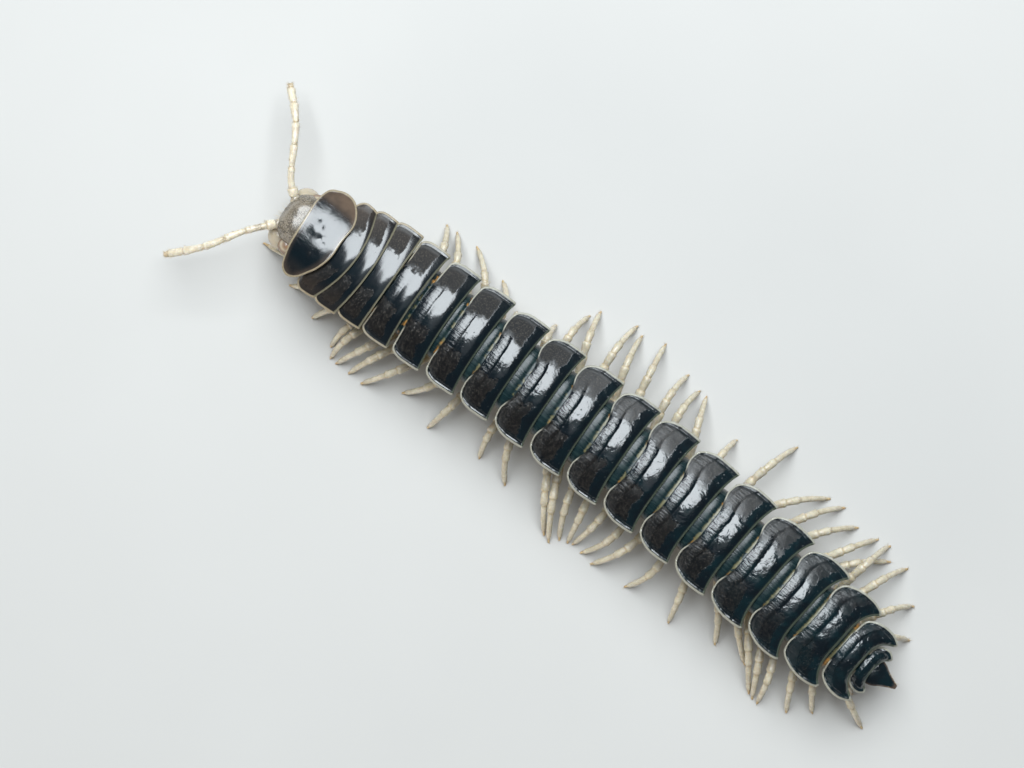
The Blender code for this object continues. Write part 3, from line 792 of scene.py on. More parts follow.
    def front(self, number: int, v: Array) -> Array:
        """Front of the ring's plate at v: one waist behind the rear margin of the ring ahead.

        Args:
            number: number of the ring.
            v: places across, to the left.

        Returns:
            The u of the margin.
        """
        here = self.places[number]
        ahead = self.places[number - 1]
        across = v
        u = v
        # The rings are turned against each other, so the place across is found in a few rounds.
        for _ in range(3):
            margin = ahead.points(self.rear(number - 1, across), across, np.zeros_like(across))
            u, found = here.inside(margin)
            across = across + v - found
        return u - between(self.waist_length, number)

    def swell(self, number: int, v: Array) -> Array:
        """How far the side keels reach forward over the waist at v."""
        over = between(self.waist_length, number) - self.side_waist_length
        return max(over, 0.0) * smooth(self.swell_share, np.abs(v) / (between(self.width, number) / 2))


@dataclass
class OfRing:
    """A part of one ring of the chain."""

    chain: Chain
    number: int

    def at(self, keys: Keys) -> float:
        """Value of a table at this ring."""
        return between(keys, self.number)


@dataclass(frozen=True)
class ShellBlank:
    """Closed flat box of small faces that every plate is bent from.

    x runs from -1 at the rear to 1 at the front, y from -1 at the right to 1 at the left, and z
    from 0 on the lower face to 1 on the upper one.
    """

    along: int = 54
    across: int = 108
    rim: int = 5

    def make(self) -> BMesh:
        """A new blank.

        Returns:
            The blank's mesh.
        """
        mesh = bmesh.new()
        bmesh.ops.create_grid(mesh, x_segments=self.along, y_segments=self.across, size=1.0)
        lifted = bmesh.ops.extrude_face_region(mesh, geom=mesh.faces[:])
        top = [part for part in lifted["geom"] if isinstance(part, BMVert)]
        bmesh.ops.translate(mesh, verts=top, vec=(0.0, 0.0, 1.0))
        walls = [edge for edge in mesh.edges if abs(edge.verts[0].co.z - edge.verts[1].co.z) > 0.5]
        bmesh.ops.subdivide_edges(mesh, edges=walls, cuts=self.rim, use_grid_fill=True)
        bmesh.ops.recalc_face_normals(mesh, faces=mesh.faces[:])
        return mesh


@dataclass
class Plate(OfRing):
    """One back plate: outline in plan, arched top with its relief, and rounded rims.

    A wave is its size, its count and its shift from ring to ring. A ridge is its height, its
    distance from the margin and its width, and a furrow is a ridge of negative height.
    """

    front_corner_inset: Keys = keyed({
        2: 0.19, 3: 0.13, 5: 0.12, 9: 0.14, 16: 0.15, 17: 0.16, 18: 0.22, 19: 0.25})
    widest_at: float = 0.55
    rear_taper_power: float = 2.5
    corner_round_power: float = 2.2
    arch_power: float = 1.8
    front_drop: Keys = keyed({2: 0.0, 5: 0.02, 7: 0.02, 19: 0.02})
    rear_drop: Keys = keyed({2: 0.08, 5: 0.09, 7: 0.15, 19: 0.15})
    even_slope: Keys = keyed({2: 1.0, 5: 1.0, 6: 0.4, 7: 0.0})
    tail_tilt: Keys = keyed({14: 0.0, 16: 0.12, 17: 0.26, 18: 0.24, 19: 0.20})
    ridges: Keys = keyed({2: 0.10, 4: 0.30, 7: 1.0})
    ruggedness: Keys = keyed({1: 0.22, 2: 0.08, 4: 0.12, 9: 1.0})
    lobe_room: float = 0.10
    end_calm: float = 0.5
    drop_powers: Pair = (3.0, 2.5)
    even_dip: Pair = (1.1, 1.6)
    late_dip: Pair = (0.55, 1.15)
    dip_fade: float = 0.6
    lobe_fade: Pair = (0.45, 0.80)
    waves: tuple[Triple, ...] = ((0.016, 7.0, 1.7), (0.009, 17.0, 2.3))
    side_ridges: tuple[Triple, ...] = ((0.06, 0.13, 0.08), (-0.05, 0.30, 0.08))
    front_ridges: tuple[Triple, ...] = ((0.05, 0.07, 0.07), (-0.03, 0.23, 0.08))
    front_ridges_from: Pair = (0.45, 0.70)
    end_crowding: float = 0.35
    side_crowding: float = 0.5
    added_thickness: float = 0.12
    thick_from_side: Pair = (0.10, 0.60)
    thick_from_end: Pair = (0.06, 0.40)
    pale_rings: Pair = (3.5, 6.5)
    backward_rings: Pair = (7.0, 18.0)
    side_rim: float = 0.10
    end_rim: float = 0.065
    relief: Keys = keyed({
        0.0: 0.10, 0.12: 0.75, 0.22: 1.0, 0.35: 0.93, 0.50: 0.62, 0.59: 0.20, 0.64: 0.06, 0.68: 0.28,
        0.73: 0.58, 0.78: 0.72, 0.86: 0.70, 0.94: 0.52, 1.0: 0.25})
    lobe_height: Keys = keyed({2: 0.0, 4: 0.0, 5: 0.04, 6: 0.08, 8: 0.10, 17: 0.10, 18: 0.05, 19: 0.0})
    thin_right: Keys = keyed({2: 0.36, 3: 0.24, 4: 0.16, 5: 0.08, 6: 0.04, 8: 0.0})
    thin_left: Keys = keyed({2: 0.22, 3: 0.12, 4: 0.05, 6: 0.0})
    patches: Keys = keyed({12: 1.0, 14: 0.9, 16: 0.6, 17: 0.4, 18: 0.1, 19: 0.0})

    def half_width(self, t: Array) -> Array:
        """Half width of the plate at a share of the way from the rear to the front margin.

        Args:
            t: shares along, from 0 at the rear to 1 at the front.

        Returns:
            Half widths.
        """
        back = np.clip(1 - t / self.widest_at, 0.0, 1.0) ** self.rear_taper_power
        ahead = np.clip((t - self.widest_at) / (1 - self.widest_at), 0.0, 1.0)
        turned = 1 - np.sqrt(np.clip(1 - ahead**self.corner_round_power, 0.0, 1.0))
        inset = self.at(self.chain.rear_corner_inset) * back
        inset = inset + self.at(self.front_corner_inset) * turned
        return self.at(self.chain.width) / 2 * (1 - inset) - self.side_rim

    def plan(self, s: Array, t: Array) -> tuple[Array, Array]:
        """The u and v of shares across and along, before the rims are added.

        Args:
            s: shares across, from -1 at the right to 1 at the left.
            t: shares along, from 0 at the rear to 1 at the front.

        Returns:
            Their u and their v.
        """
        v = s * self.half_width(t)
        rear = self.chain.rear(self.number, v) + self.end_rim
        front = self.chain.front(self.number, v) + self.chain.swell(self.number, v) - self.end_rim
        return rear + t * (front - rear), v

    def outward(self, s: Array, t: Array) -> tuple[Array, Array]:
        """Direction away from the plate in plan, on its side and end walls.

        Args:
            s: shares across, from -1 at the right to 1 at the left.
            t: shares along, from 0 at the rear to 1 at the front.

        Returns:
            The u and v of arrows of length 1, or of 0 away from the walls.
        """
        nudge = 0.01
        at_side = np.abs(s) > 1 - AT_EDGE
        at_end = (t < AT_EDGE) | (t > 1 - AT_EDGE)
        ahead = self.plan(s, np.clip(t + nudge, 0, 1))
        behind = self.plan(s, np.clip(t - nudge, 0, 1))
        left = self.plan(np.clip(s + nudge, -1, 1), t)
        right = self.plan(np.clip(s - nudge, -1, 1), t)
        side = np.stack((-(ahead[1] - behind[1]), ahead[0] - behind[0])) * np.sign(s)
        end = np.stack((left[1] - right[1], -(left[0] - right[0]))) * np.where(t > 0.5, 1.0, -1.0)
        both = unit(unit(side) * at_side + unit(end) * at_end)
        return both[0], both[1]

    def rim_radius(self, s: Array) -> Array:
        """Half thickness of the margin, larger along the sides."""
        return self.end_rim + (self.side_rim - self.end_rim) * step(0.85, 1.0, np.abs(s))

    def margins(self, s: Array, t: Array) -> tuple[Array, Array, Array]:
        """Distances from the side, the rear and the front margin.

        Args:
            s: shares across, from -1 at the right to 1 at the left.
            t: shares along, from 0 at the rear to 1 at the front.

        Returns:
            Three distances for each place.
        """
        length = self.plan(s, np.ones_like(t))[0] - self.plan(s, np.zeros_like(t))[0]
        side = (1 - np.abs(s)) * self.half_width(t) + self.side_rim
        return side, t * length + self.end_rim, (1 - t) * length + self.end_rim

    def amber(self, s: Array, t: Array) -> Array:
        """Share of thin brown shell, toward the ends of the first rings."""
        right = self.at(self.thin_right) * step(0.35, 0.95, -s)
        return right * (0.6 + 0.4 * t) + self.at(self.thin_left) * step(0.5, 1.0, s)

    def stippled(self, s: Array, t: Array) -> Array:
        """Share of brown stipple that the patches of this ring may have."""
        return np.full_like(s, self.at(self.patches))

    def top(self, s: Array, t: Array) -> Array:
        """Height of the upper face.

        Args:
            s: shares across, from -1 at the right to 1 at the left.
            t: shares along, from 0 at the rear to 1 at the front.

        Returns:
            Heights.
        """
        crest = self.at(self.chain.crest)
        edge = self.at(self.chain.edge)
        out = np.abs(s)
        z = crest - self.lobe_room - (crest - edge) * out**self.arch_power
        inward = 1 - self.end_calm * out
        front_power, rear_power = self.drop_powers
        z = z - self.at(self.front_drop) * inward * np.clip(2 * t - 1, 0, 1) ** front_power
        z = z - self.at(self.rear_drop) * inward * np.clip(1 - 2 * t, 0, 1) ** rear_power
        even = self.at(self.even_slope)
        depth, power = self.even_dip
        slope = even * depth * t**power + (1 - even) * 2 * step(*self.late_dip, t)
        z = z - self.at(self.chain.front_dip) * (1 - self.dip_fade * out) * slope
        z = z - self.at(self.tail_tilt) * (1 - t)
        wavy = t
        for size, count, shift in self.waves:
            wavy = wavy + size * np.sin(count * s + shift * self.number)
        middle = 1 - step(*self.lobe_fade, out)
        z = z + self.at(self.lobe_height) * middle * smooth(self.relief, wavy)
        from_side, _, from_front = self.margins(s, t)
        raised = self.at(self.ridges)
        z = z + raised * sum(height * ridge(from_side, *form) for height, *form in self.side_ridges)
        raised = raised * step(*self.front_ridges_from, out)
        z = z + raised * sum(height * ridge(from_front, *form) for height, *form in self.front_ridges)
        return np.minimum(z, crest - CREST_GAP)

    def make(self, blank: BMesh) -> BMesh:
        """The finished plate in millimetres, bent from a copy of the blank.

        Args:
            blank: the blank.

        Returns:
            The new mesh.
        """
        mesh = blank.copy()
        verts = mesh.verts[:]
        x, y, level = places_of(verts).T
        # The faces crowd toward the margins, where the surface turns most.
        t = (x + 1) / 2
        t = (1 - self.end_crowding) * t + self.end_crowding * step(0.0, 1.0, t)
        s = (1 - self.side_crowding) * y + self.side_crowding * np.sin(pi / 2 * y)
        u, v = self.plan(s, t)
        radius = self.rim_radius(s)
        top = self.top(s, t)
        side, rear, front = self.margins(s, t)
        inner = step(*self.thick_from_side, side) * step(*self.thick_from_end, rear)
        low = top - 2 * radius - self.added_thickness * inner * step(*self.thick_from_end, front)
        # The walls of the blank become half round margins.
        bulge = radius * np.sin(pi * level)
        out_u, out_v = self.outward(s, t)
        rounded = low + (top - low) * (1 - np.cos(pi * level)) / 2
        place = self.chain.places[self.number]
        place_all(verts, place.points(u + out_u * bulge, v + out_v * bulge, rounded))
        wall = (level > AT_EDGE) & (level < 1 - AT_EDGE)
        marks = {
            "side": np.where(wall & (np.abs(s) > 1 - AT_EDGE), 0.0, side),
            "rear": np.where(wall & (t < AT_EDGE), 0.0, rear),
            "front": np.where(wall & (t > 1 - AT_EDGE), 0.0, front),
            "across": s,
            "along": t,
            "under": 1 - level,
            "amber": self.amber(s, t),
            "stippled": self.stippled(s, t),
        }
        for name, values in marks.items():
            mark_all(mesh, name, values)
        mark_evenly(mesh, pale=step(*self.pale_rings, self.number),
                    backward=step(*self.backward_rings, self.number), rugged=self.at(self.ruggedness))
        return mesh


@dataclass
class Collum(Plate):
    """The shield over the neck, a domed plate with one smooth edge all round.

    A brown share is where it starts, where it is full, and how strong it is there. A dent is its
    u, v, width and depth, and a bump is a dent of negative depth.
    """

    middle: Pair = (1.50, 0.045)
    half: Pair = (1.56, 3.195)
    sag: float = 0.06
    edge_sag: float = 0.06
    tilt: float = 0.20
    roll: float = 0.08
    brown_right: Triple = (1.6, 2.4, 0.95)
    brown_edge: Triple = (0.6, 0.1, 0.32)
    brown_left: Triple = (1.8, 2.8, 0.14)
    freckles: Triple = (0.85, 1.05, 0.24)
    freckle_width: float = 0.16
    freckle_share: float = 0.9
    rim_ridge: Triple = (0.03, 0.08, 0.07)
    dents: tuple[tuple[float, float, float, float], ...] = (
        (1.72, -0.22, 0.42, -0.095), (1.20, 0.12, 0.14, 0.040), (1.00, -0.15, 0.11, 0.030),
        (0.82, 0.25, 0.11, 0.026), (2.05, -0.85, 0.16, 0.030), (1.35, -0.70, 0.26, 0.036),
        (0.60, -0.55, 0.14, 0.026), (2.45, -0.40, 0.12, 0.016), (0.85, 1.05, 0.22, 0.014))

    def edge_keys(self) -> tuple[Keys, Keys]:
        """The u and v of the edge by angle about the middle, carried on past a full turn.

        Returns:
            Two tables by angle.
        """
        front = self.chain.collum_front
        loop = [(u, v) for v, u in front.items()]
        loop += [(u, v) for v, u in self.chain.collum_rear_u.items() if v not in front]
        found = []
        for u, v in loop:
            angle = atan2((u - self.middle[0]) / self.half[0], (v - self.middle[1]) / self.half[1])
            found.extend((angle + turn, u, v) for turn in (-2 * pi, 0.0, 2 * pi))
        found.sort()
        return {angle: u for angle, u, _ in found}, {angle: v for angle, _, v in found}

    def spread(self, s: Array, t: Array) -> tuple[Array, Array, Array]:
        """How far out a square's shares lie on the disc, and the edge's place from the middle there.

        Args:
            s: shares across, from -1 at the right to 1 at the left.
            t: shares along, from 0 at the rear to 1 at the front.

        Returns:
            The share of the way out, and the edge's u and v from the middle.
        """
        ahead = 2 * t - 1
        disc_v = s * np.sqrt(1 - ahead**2 / 2)
        disc_u = ahead * np.sqrt(1 - s**2 / 2)
        edge_u, edge_v = self.edge_keys()
        angle = np.arctan2(disc_u, disc_v)
        rim_u = smooth(edge_u, angle) - self.middle[0]
        rim_v = smooth(edge_v, angle) - self.middle[1]
        shrink = 1 - self.end_rim / np.hypot(rim_u, rim_v)
        return np.hypot(disc_u, disc_v), rim_u * shrink, rim_v * shrink

    def plan(self, s: Array, t: Array) -> tuple[Array, Array]:
        """The u and v of a square's shares, drawn out to the shield's edge."""
        reach, rim_u, rim_v = self.spread(s, t)
        return self.middle[0] + reach * rim_u, self.middle[1] + reach * rim_v

    def rim_radius(self, s: Array) -> Array:
        """Half thickness of the margin."""
        return np.full_like(s, self.end_rim)

    def margins(self, s: Array, t: Array) -> tuple[Array, Array, Array]:
        """Distance from the edge, the same three times.

        Args:
            s: shares across, from -1 at the right to 1 at the left.
            t: shares along, from 0 at the rear to 1 at the front.

        Returns:
            Three distances for each place.
        """
        reach, rim_u, rim_v = self.spread(s, t)
        gap = (1 - reach) * np.hypot(rim_u, rim_v) + self.end_rim
        return gap, gap, gap

    def amber(self, s: Array, t: Array) -> Array:
        """Share of thin brown shell, at the right end and along the edge.

        Args:
            s: shares across, from -1 at the right to 1 at the left.
            t: shares along, from 0 at the rear to 1 at the front.

        Returns:
            Shares from 0 to 1.
        """
        _, v = self.plan(s, t)
        gap = self.margins(s, t)[0]
        shares = ((self.brown_right, -v), (self.brown_edge, gap), (self.brown_left, v))
        return np.clip(sum(strength * step(low, high, at) for (low, high, strength), at in shares), 0.0, 1.0)

    def stippled(self, s: Array, t: Array) -> Array:
        """A ring of freckles on the left half.

        Args:
            s: shares across, from -1 at the right to 1 at the left.
            t: shares along, from 0 at the rear to 1 at the front.

        Returns:
            Shares from 0 to 1.
        """
        u, v = self.plan(s, t)
        away = np.hypot(u - self.freckles[0], v - self.freckles[1])
        return self.freckle_share * ridge(away, self.freckles[2], self.freckle_width)

    def top(self, s: Array, t: Array) -> Array:
        """Height of the upper face, domed across and sagging to the edge, with a few dents.

        Args:
            s: shares across, from -1 at the right to 1 at the left.
            t: shares along, from 0 at the rear to 1 at the front.

        Returns:
            Heights.
        """
        u, v = self.plan(s, t)
        crest = self.at(self.chain.crest)
        edge = self.at(self.chain.edge)
        z = crest - CREST_GAP - (crest - edge) * (v / self.half[1]) ** 2 + self.roll * v
        ahead = (u - self.middle[0]) / self.half[0]
        z = z - self.sag * ahead**2 - self.edge_sag * ahead**6 - self.tilt * (ahead + 1)
        for dent_u, dent_v, width, depth in self.dents:
            z = z - depth * np.exp(-((u - dent_u) ** 2 + (v - dent_v) ** 2) / width**2)
        height, *form = self.rim_ridge
        return z + height * ridge(self.margins(s, t)[0], *form) * (crest - z > self.lobe_room)


@dataclass
class RingBody(OfRing):
    """The body of one ring below its plate, with the waist that reaches under the plate ahead."""

    core_half: Keys = keyed({2: 2.45, 4: 2.70, 15: 2.75, 16: 2.65, 17: 2.40, 18: 1.80, 19: 1.10})
    waist_half: Keys = keyed({1: 1.70, 2: 1.90, 4: 2.05, 15: 2.05, 16: 1.90, 17: 1.50, 18: 0.95, 19: 0.62})
    waist_low: Keys = keyed({1: 2.20, 16: 2.25, 17: 2.35, 18: 2.75, 19: 2.90})
    sternum: Keys = keyed({2: 1.75, 16: 1.75, 17: 1.85, 18: 2.10, 19: 2.40})
    turns: int = 64
    stations: int = 30
    start: float = 0.08
    end: float = 2.0
    core_share: Keys = keyed({0.08: 0.93, 0.30: 1.0, 0.80: 1.0, 0.98: 0.98})
    waist_share: Keys = keyed({1.06: 1.02, 1.30: 1.0, 1.75: 0.97, 2.0: 0.90})
    waist_wider: float = 0.34
    waist_lower: float = 0.20
    squareness: float = 0.80
    followed_share: float = 0.85
    below_plate: float = 0.40
    below_next_plate: float = 0.43
    tuck: float = 0.20
    sternite_drop: float = 0.34
    sternite_half: float = 1.05
    sternite_length: float = 0.34
    ochre: Keys = keyed({2: 0.0, 5: 0.10, 9: 0.14, 12: 0.18, 14: 0.24, 16: 0.28, 19: 0.28})

    def make(self) -> BMesh:
        """The tube of the body, from inside its own plate's rear to inside the ring ahead.

        Returns:
            The new mesh in millimetres.
        """
        mesh = bmesh.new()
        x, y, along = places_of(add_tube(mesh, self.turns, self.stations)).T
        # p is 0 at the plate's rear margin, 1 at its front margin and 2 at the end of the waist.
        p = self.start + (along + 1) / 2 * (self.end - self.start)
        core = self.at(self.core_half)
        waist = min(between(self.waist_half, self.number - 1) + self.waist_wider, core)
        widths = {at: core * share for at, share in self.core_share.items()}
        widths |= {at: waist * share for at, share in self.waist_share.items()}
        half = smooth(widths, p)
        low_core = self.at(self.sternum)
        low_waist = between(self.waist_low, self.number - 1) - self.waist_lower
        low = smooth({0.08: low_core + 0.15, 0.30: low_core, 0.90: low_core, 1.10: low_waist,
                      2.0: low_waist}, p)
        crest = self.at(self.chain.crest) - self.below_plate
        dipped = crest - self.at(self.chain.front_dip)
        waist_crest = min(crest, between(self.chain.crest, self.number - 1) - self.below_next_plate)
        high = smooth({0.08: crest - 0.05, 0.60: crest - 0.02, 0.95: dipped, 1.05: dipped - 0.04,
                       1.40: min(waist_crest, dipped + 0.05), 2.0: waist_crest - 0.03}, p)
        up = squared(y, self.squareness)
        out = squared(x, self.squareness)
        v = half * out
        z = (high + low) / 2 + (high - low) / 2 * up
        rear = self.chain.rear(self.number, v * self.followed_share)
        front = self.chain.front(self.number, v * self.followed_share)
        reach = self.at(self.chain.waist_length) + self.tuck
        u = np.where(p < 1, rear + p * (front - rear), front + (p - 1) * reach)
        sternites = sum(ridge(u, hip, self.sternite_length) for hip in self.chain.hips(self.number))
        below = (1 - step(0.55, 1.25, np.abs(v) / self.sternite_half)) * step(0.0, 0.5, -up)
        z = z - self.sternite_drop * np.clip(sternites, 0.0, 1.0) * below
        place_all(mesh.verts, self.chain.places[self.number].points(u, v, z))
        mark_all(mesh, "ahead", (p - 1) * reach)
        mark_all(mesh, "height", (up + 1) / 2)
        outer = np.abs(out)
        mark_all(mesh, "outer", outer)
        mark_all(mesh, "ochre", self.at(self.ochre) * (0.75 + 0.5 * outer))
        bmesh.ops.recalc_face_normals(mesh, faces=mesh.faces[:])
        return mesh


@dataclass
class Neck:
    """The soft neck under the collum, from the first ring into the head."""

    chain: Chain
    turns: int = 48
    stations: int = 14
    span: Pair = (-0.40, 2.30)
    half: Keys = keyed({-0.4: 2.0, 0.6: 2.05, 1.4: 1.75, 2.3: 1.35})
    low: Keys = keyed({-0.4: 2.05, 0.6: 1.95, 1.4: 2.0, 2.3: 2.1})
    high: Keys = keyed({-0.4: 4.70, 0.6: 4.75, 1.4: 4.50, 2.3: 3.80})
    squareness: float = 0.85

    def make(self) -> BMesh:
        """The tube of the neck.

        Returns:
            The new mesh in millimetres.
        """
        mesh = bmesh.new()
        x, y, along = places_of(add_tube(mesh, self.turns, self.stations)).T
        u = self.span[0] + (along + 1) / 2 * (self.span[1] - self.span[0])
        half, low, high = (smooth(keys, u) for keys in (self.half, self.low, self.high))
        up = squared(y, self.squareness)
        out = squared(x, self.squareness)
        z = (high + low) / 2 + (high - low) / 2 * up
        place_all(mesh.verts, self.chain.places[1].points(u, half * out, z))
        mark_all(mesh, "ahead", u + 1)
        mark_all(mesh, "height", (up + 1) / 2)
        bmesh.ops.recalc_face_normals(mesh, faces=mesh.faces[:])
        return mesh


@dataclass(frozen=True)
class Hairs:
    """Fine hairs, each a long thin cone with a three-sided root."""

    count: int
    length: Pair
    radius: float = 0.011
    lean: float = 0.22
    taper: float = 0.15

    def grow(self, mesh: BMesh, roots: Array, aways: Array, rng: np.random.Generator) -> None:
        """Add one hair at each root.

        Args:
            mesh: the mesh that they are added to, with the hairs' finish as its second one.
            roots: where they stand.
            aways: the way each points, before it leans a little.
            rng: seeded source of their lengths and leans.
        """
        for root, away in zip(roots, aways):
            long = float(rng.uniform(*self.length))
            heading = (Vector(away).normalized() + Vector(rng.normal(0.0, self.lean, 3))).normalized()
            turn = heading.to_track_quat("Z", "Y").to_matrix().to_4x4()
            place = Matrix.Translation(Vector(root) + heading * (long / 2 - self.radius)) @ turn
            made = bmesh.ops.create_cone(mesh, cap_ends=True, cap_tris=True, segments=3, radius1=self.radius,
                                         radius2=self.radius * self.taper, depth=long, matrix=place)
            for face in {face for vert in made["verts"] for face in vert.link_faces}:
                face.material_index = HAIR_FINISH
            for vert in made["verts"]:
                vert.co.z = max(vert.co.z, 0.0)


@dataclass
class Podomeres:
    """Radius of a jointed limb along its length: each joint swells toward its far end.

    bounds are the shares of the limb where a joint ends, and marks the shares of a joint where the
    limb has a ring of vertices.
    """

    bounds: tuple[float, ...]
    girth: Keys
    neck: float = 0.80
    swell: float = 1.08
    joint_reach: float = 0.015
    marks: tuple[float, ...] = (0.0, 0.08, 0.26, 0.50, 0.74, 0.90, 0.97)

    def stations(self) -> Array:
        """Shares of the limb where it has a ring of vertices.

        Returns:
            Shares in rising order.
        """
        found = []
        for start, end in zip(self.bounds, self.bounds[1:]):
            found.extend(start + (end - start) * mark for mark in self.marks)
        return np.array(found + [self.bounds[-1]])

    def inside(self, share: Array) -> Array:
        """How far along its own joint each share lies, from 0 to 1.

        Args:
            share: shares of the limb.

        Returns:
            Shares of the joint.
        """
        i = np.clip(np.searchsorted(self.bounds, share, side="right") - 1, 0, len(self.bounds) - 2)
        bounds = np.array(self.bounds)
        return (share - bounds[i]) / (bounds[i + 1] - bounds[i])

    def radius(self, share: Array) -> Array:
        """Radius at each share."""
        form = {0.0: self.neck, 0.12: 0.88, 0.40: 0.95, 0.80: self.swell, 0.93: self.swell, 1.0: self.neck}
        return smooth(self.girth, share) * smooth(form, self.inside(share))

    def joint(self, share: Array) -> Array:
        """How near each share lies to a joint, 1 right at it."""
        nearest = np.min(np.abs(share[:, None] - np.array(self.bounds[1:-1])[None, :]), axis=1)
        return 1 - step(0.0, self.joint_reach, nearest)


@dataclass
class Limb:
    """A jointed tube laid along a path of points, with hairs."""

    podomeres: Podomeres
    hairs: Hairs
    hairs_from: float
    hair_slant: float = 0.8
    sides: int = 14

    def lay(self, mesh: BMesh, path: Line, rng: np.random.Generator) -> None:
        """Add the limb to a mesh.

        Args:
            mesh: the mesh that it is added to.
            path: gives a world point for each share of the limb.
            rng: seeded source of the places of its hairs.
        """
        shares = self.podomeres.stations()
        count = len(shares)
        before = len(mesh.verts)
        verts = add_tube(mesh, self.sides, count)
        x, y, along = places_of(verts).T
        # Each ring of vertices stands across the path at its own station.
        station = np.rint((along + 1) / 2 * (count - 1)).astype(int)
        centres = path(shares)
        ahead = np.gradient(centres, shares, axis=0)
        ahead /= np.linalg.norm(ahead, axis=1)[:, None]
        aside = np.cross((0.0, 0.0, 1.0), ahead)
        aside /= np.linalg.norm(aside, axis=1)[:, None]
        above = np.cross(ahead, aside)
        radii = self.podomeres.radius(shares)[:, None]
        outward = aside[station] * x[:, None] + above[station] * y[:, None]
        points = centres[station] + radii[station] * outward
        points[:, 2] = np.maximum(points[:, 2], 0.0)
        place_all(verts, points)
        mark_all(mesh, "share", shares[station], before)
        mark_all(mesh, "joint", self.podomeres.joint(shares)[station], before)
        # Hairs stand all round but point upward, so that none reaches into the floor.
        first = int(np.searchsorted(shares, self.hairs_from))
        chosen = rng.integers(first, count - 1, self.hairs.count)
        turned = rng.uniform(0.0, 2 * pi, self.hairs.count)[:, None]
        outward = aside[chosen] * np.cos(turned) + above[chosen] * np.sin(turned)
        outward[:, 2] = np.abs(outward[:, 2])
        roots = centres[chosen] + outward * radii[chosen]
        self.hairs.grow(mesh, roots, outward + self.hair_slant * ahead[chosen], rng)


@dataclass
class Gait:
    """Where the feet of one side stand, by pair of legs.

    swing is how far ahead of its hip a foot stands, reach how far out from the middle, bend how
    far ahead of half way the knee lies, and lift how much of its usual height the leg has.
    """

    side: Side
    swing: Keys
    reach: Keys
    bend: Keys
    lift: Keys


LEFT_GAIT = Gait(
    Side.LEFT,
    swing={1: 4.9, 2: 3.3, 3: 2.4, 4: 1.5, 5: 2.0, 6: 2.85, 7: 2.8, 8: 3.25, 9: 1.8, 10: 0.9, 12: -0.1,
           13: -1.4, 14: -3.3, 15: -2.8, 16: -1.4, 17: -0.9, 18: 0.6, 19: 0.9, 20: 1.7, 21: 0.15,
           22: -1.5, 23: -3.6, 24: -3.95, 25: -4.3, 26: -2.9, 27: -2.3, 28: -2.05, 29: -2.3, 30: -4.0,
           31: -1.2},
    reach={1: 2.5, 2: 3.65, 3: 4.65, 4: 5.45, 5: 6.05, 8: 6.2, 9: 5.2, 10: 6.0, 11: 3.3, 12: 5.6,
           13: 6.05, 14: 7.1, 15: 7.3, 16: 6.7, 18: 6.4, 20: 6.65, 21: 6.4, 22: 6.35, 23: 5.5, 24: 5.1,
           25: 6.3, 27: 6.35, 28: 5.55, 29: 4.5, 30: 3.1, 31: 1.9},
    bend={1: -2.0, 2: -0.8, 3: 0.4, 4: 0.9, 5: 1.2, 6: 0.4, 7: 0.6, 8: -0.1, 9: -1.2, 10: -0.1, 12: 0.7,
          13: 1.2, 14: 0.35, 15: 0.4, 16: 0.8, 17: 0.0, 18: -0.3, 19: -1.4, 20: -0.85, 21: -1.5, 22: 0.0,
          23: -0.7, 24: 0.8, 25: 0.0, 26: 0.15, 27: -0.5, 28: 0.5, 29: 0.5, 31: 0.7},
    lift={1: 1.0},
)

RIGHT_GAIT = Gait(
    Side.RIGHT,
    swing={1: 2.6, 2: 2.0, 3: 1.4, 4: 1.0, 5: 0.85, 6: 1.35, 7: 0.4, 8: 2.25, 9: 0.7, 10: 0.5, 11: 0.5,
           12: 0.8, 13: 0.4, 14: 1.9, 15: 0.5, 16: 1.8, 17: 1.3, 18: 1.1, 19: 0.95, 20: 2.7, 21: 0.5,
           22: -0.6, 23: -3.25, 24: -2.2, 25: -2.65, 26: -2.1, 27: -2.6, 28: 0.0, 29: -0.75, 30: -1.4,
           31: -1.7},
    reach={1: 2.3, 2: 2.9, 3: 3.0, 4: 3.1, 5: 5.0, 6: 5.0, 7: 3.2, 8: 5.0, 9: 4.2, 10: 3.2, 11: 3.2,
           12: 4.0, 13: 5.7, 14: 6.4, 15: 7.0, 16: 6.75, 17: 7.2, 18: 6.5, 19: 6.1, 20: 6.1, 21: 5.2,
           22: 7.3, 23: 6.15, 24: 6.45, 25: 6.05, 26: 6.4, 27: 5.85, 28: 6.6, 29: 6.25, 30: 4.8, 31: 3.0},
    bend={1: -0.8, 5: -0.8, 6: -1.0, 8: -1.6, 9: -1.6, 10: 0.0, 12: 0.6, 13: 1.0, 14: 0.8, 15: 1.0,
          16: 1.0, 17: 0.55, 18: 1.3, 19: 1.2, 20: 0.7, 22: 0.9, 23: 1.3, 25: 1.2, 26: 0.7, 27: 1.4,
          28: 1.1, 29: 1.2, 31: 1.3},
    lift={26: 1.0, 27: 0.62, 28: 1.35, 29: 1.0},
)


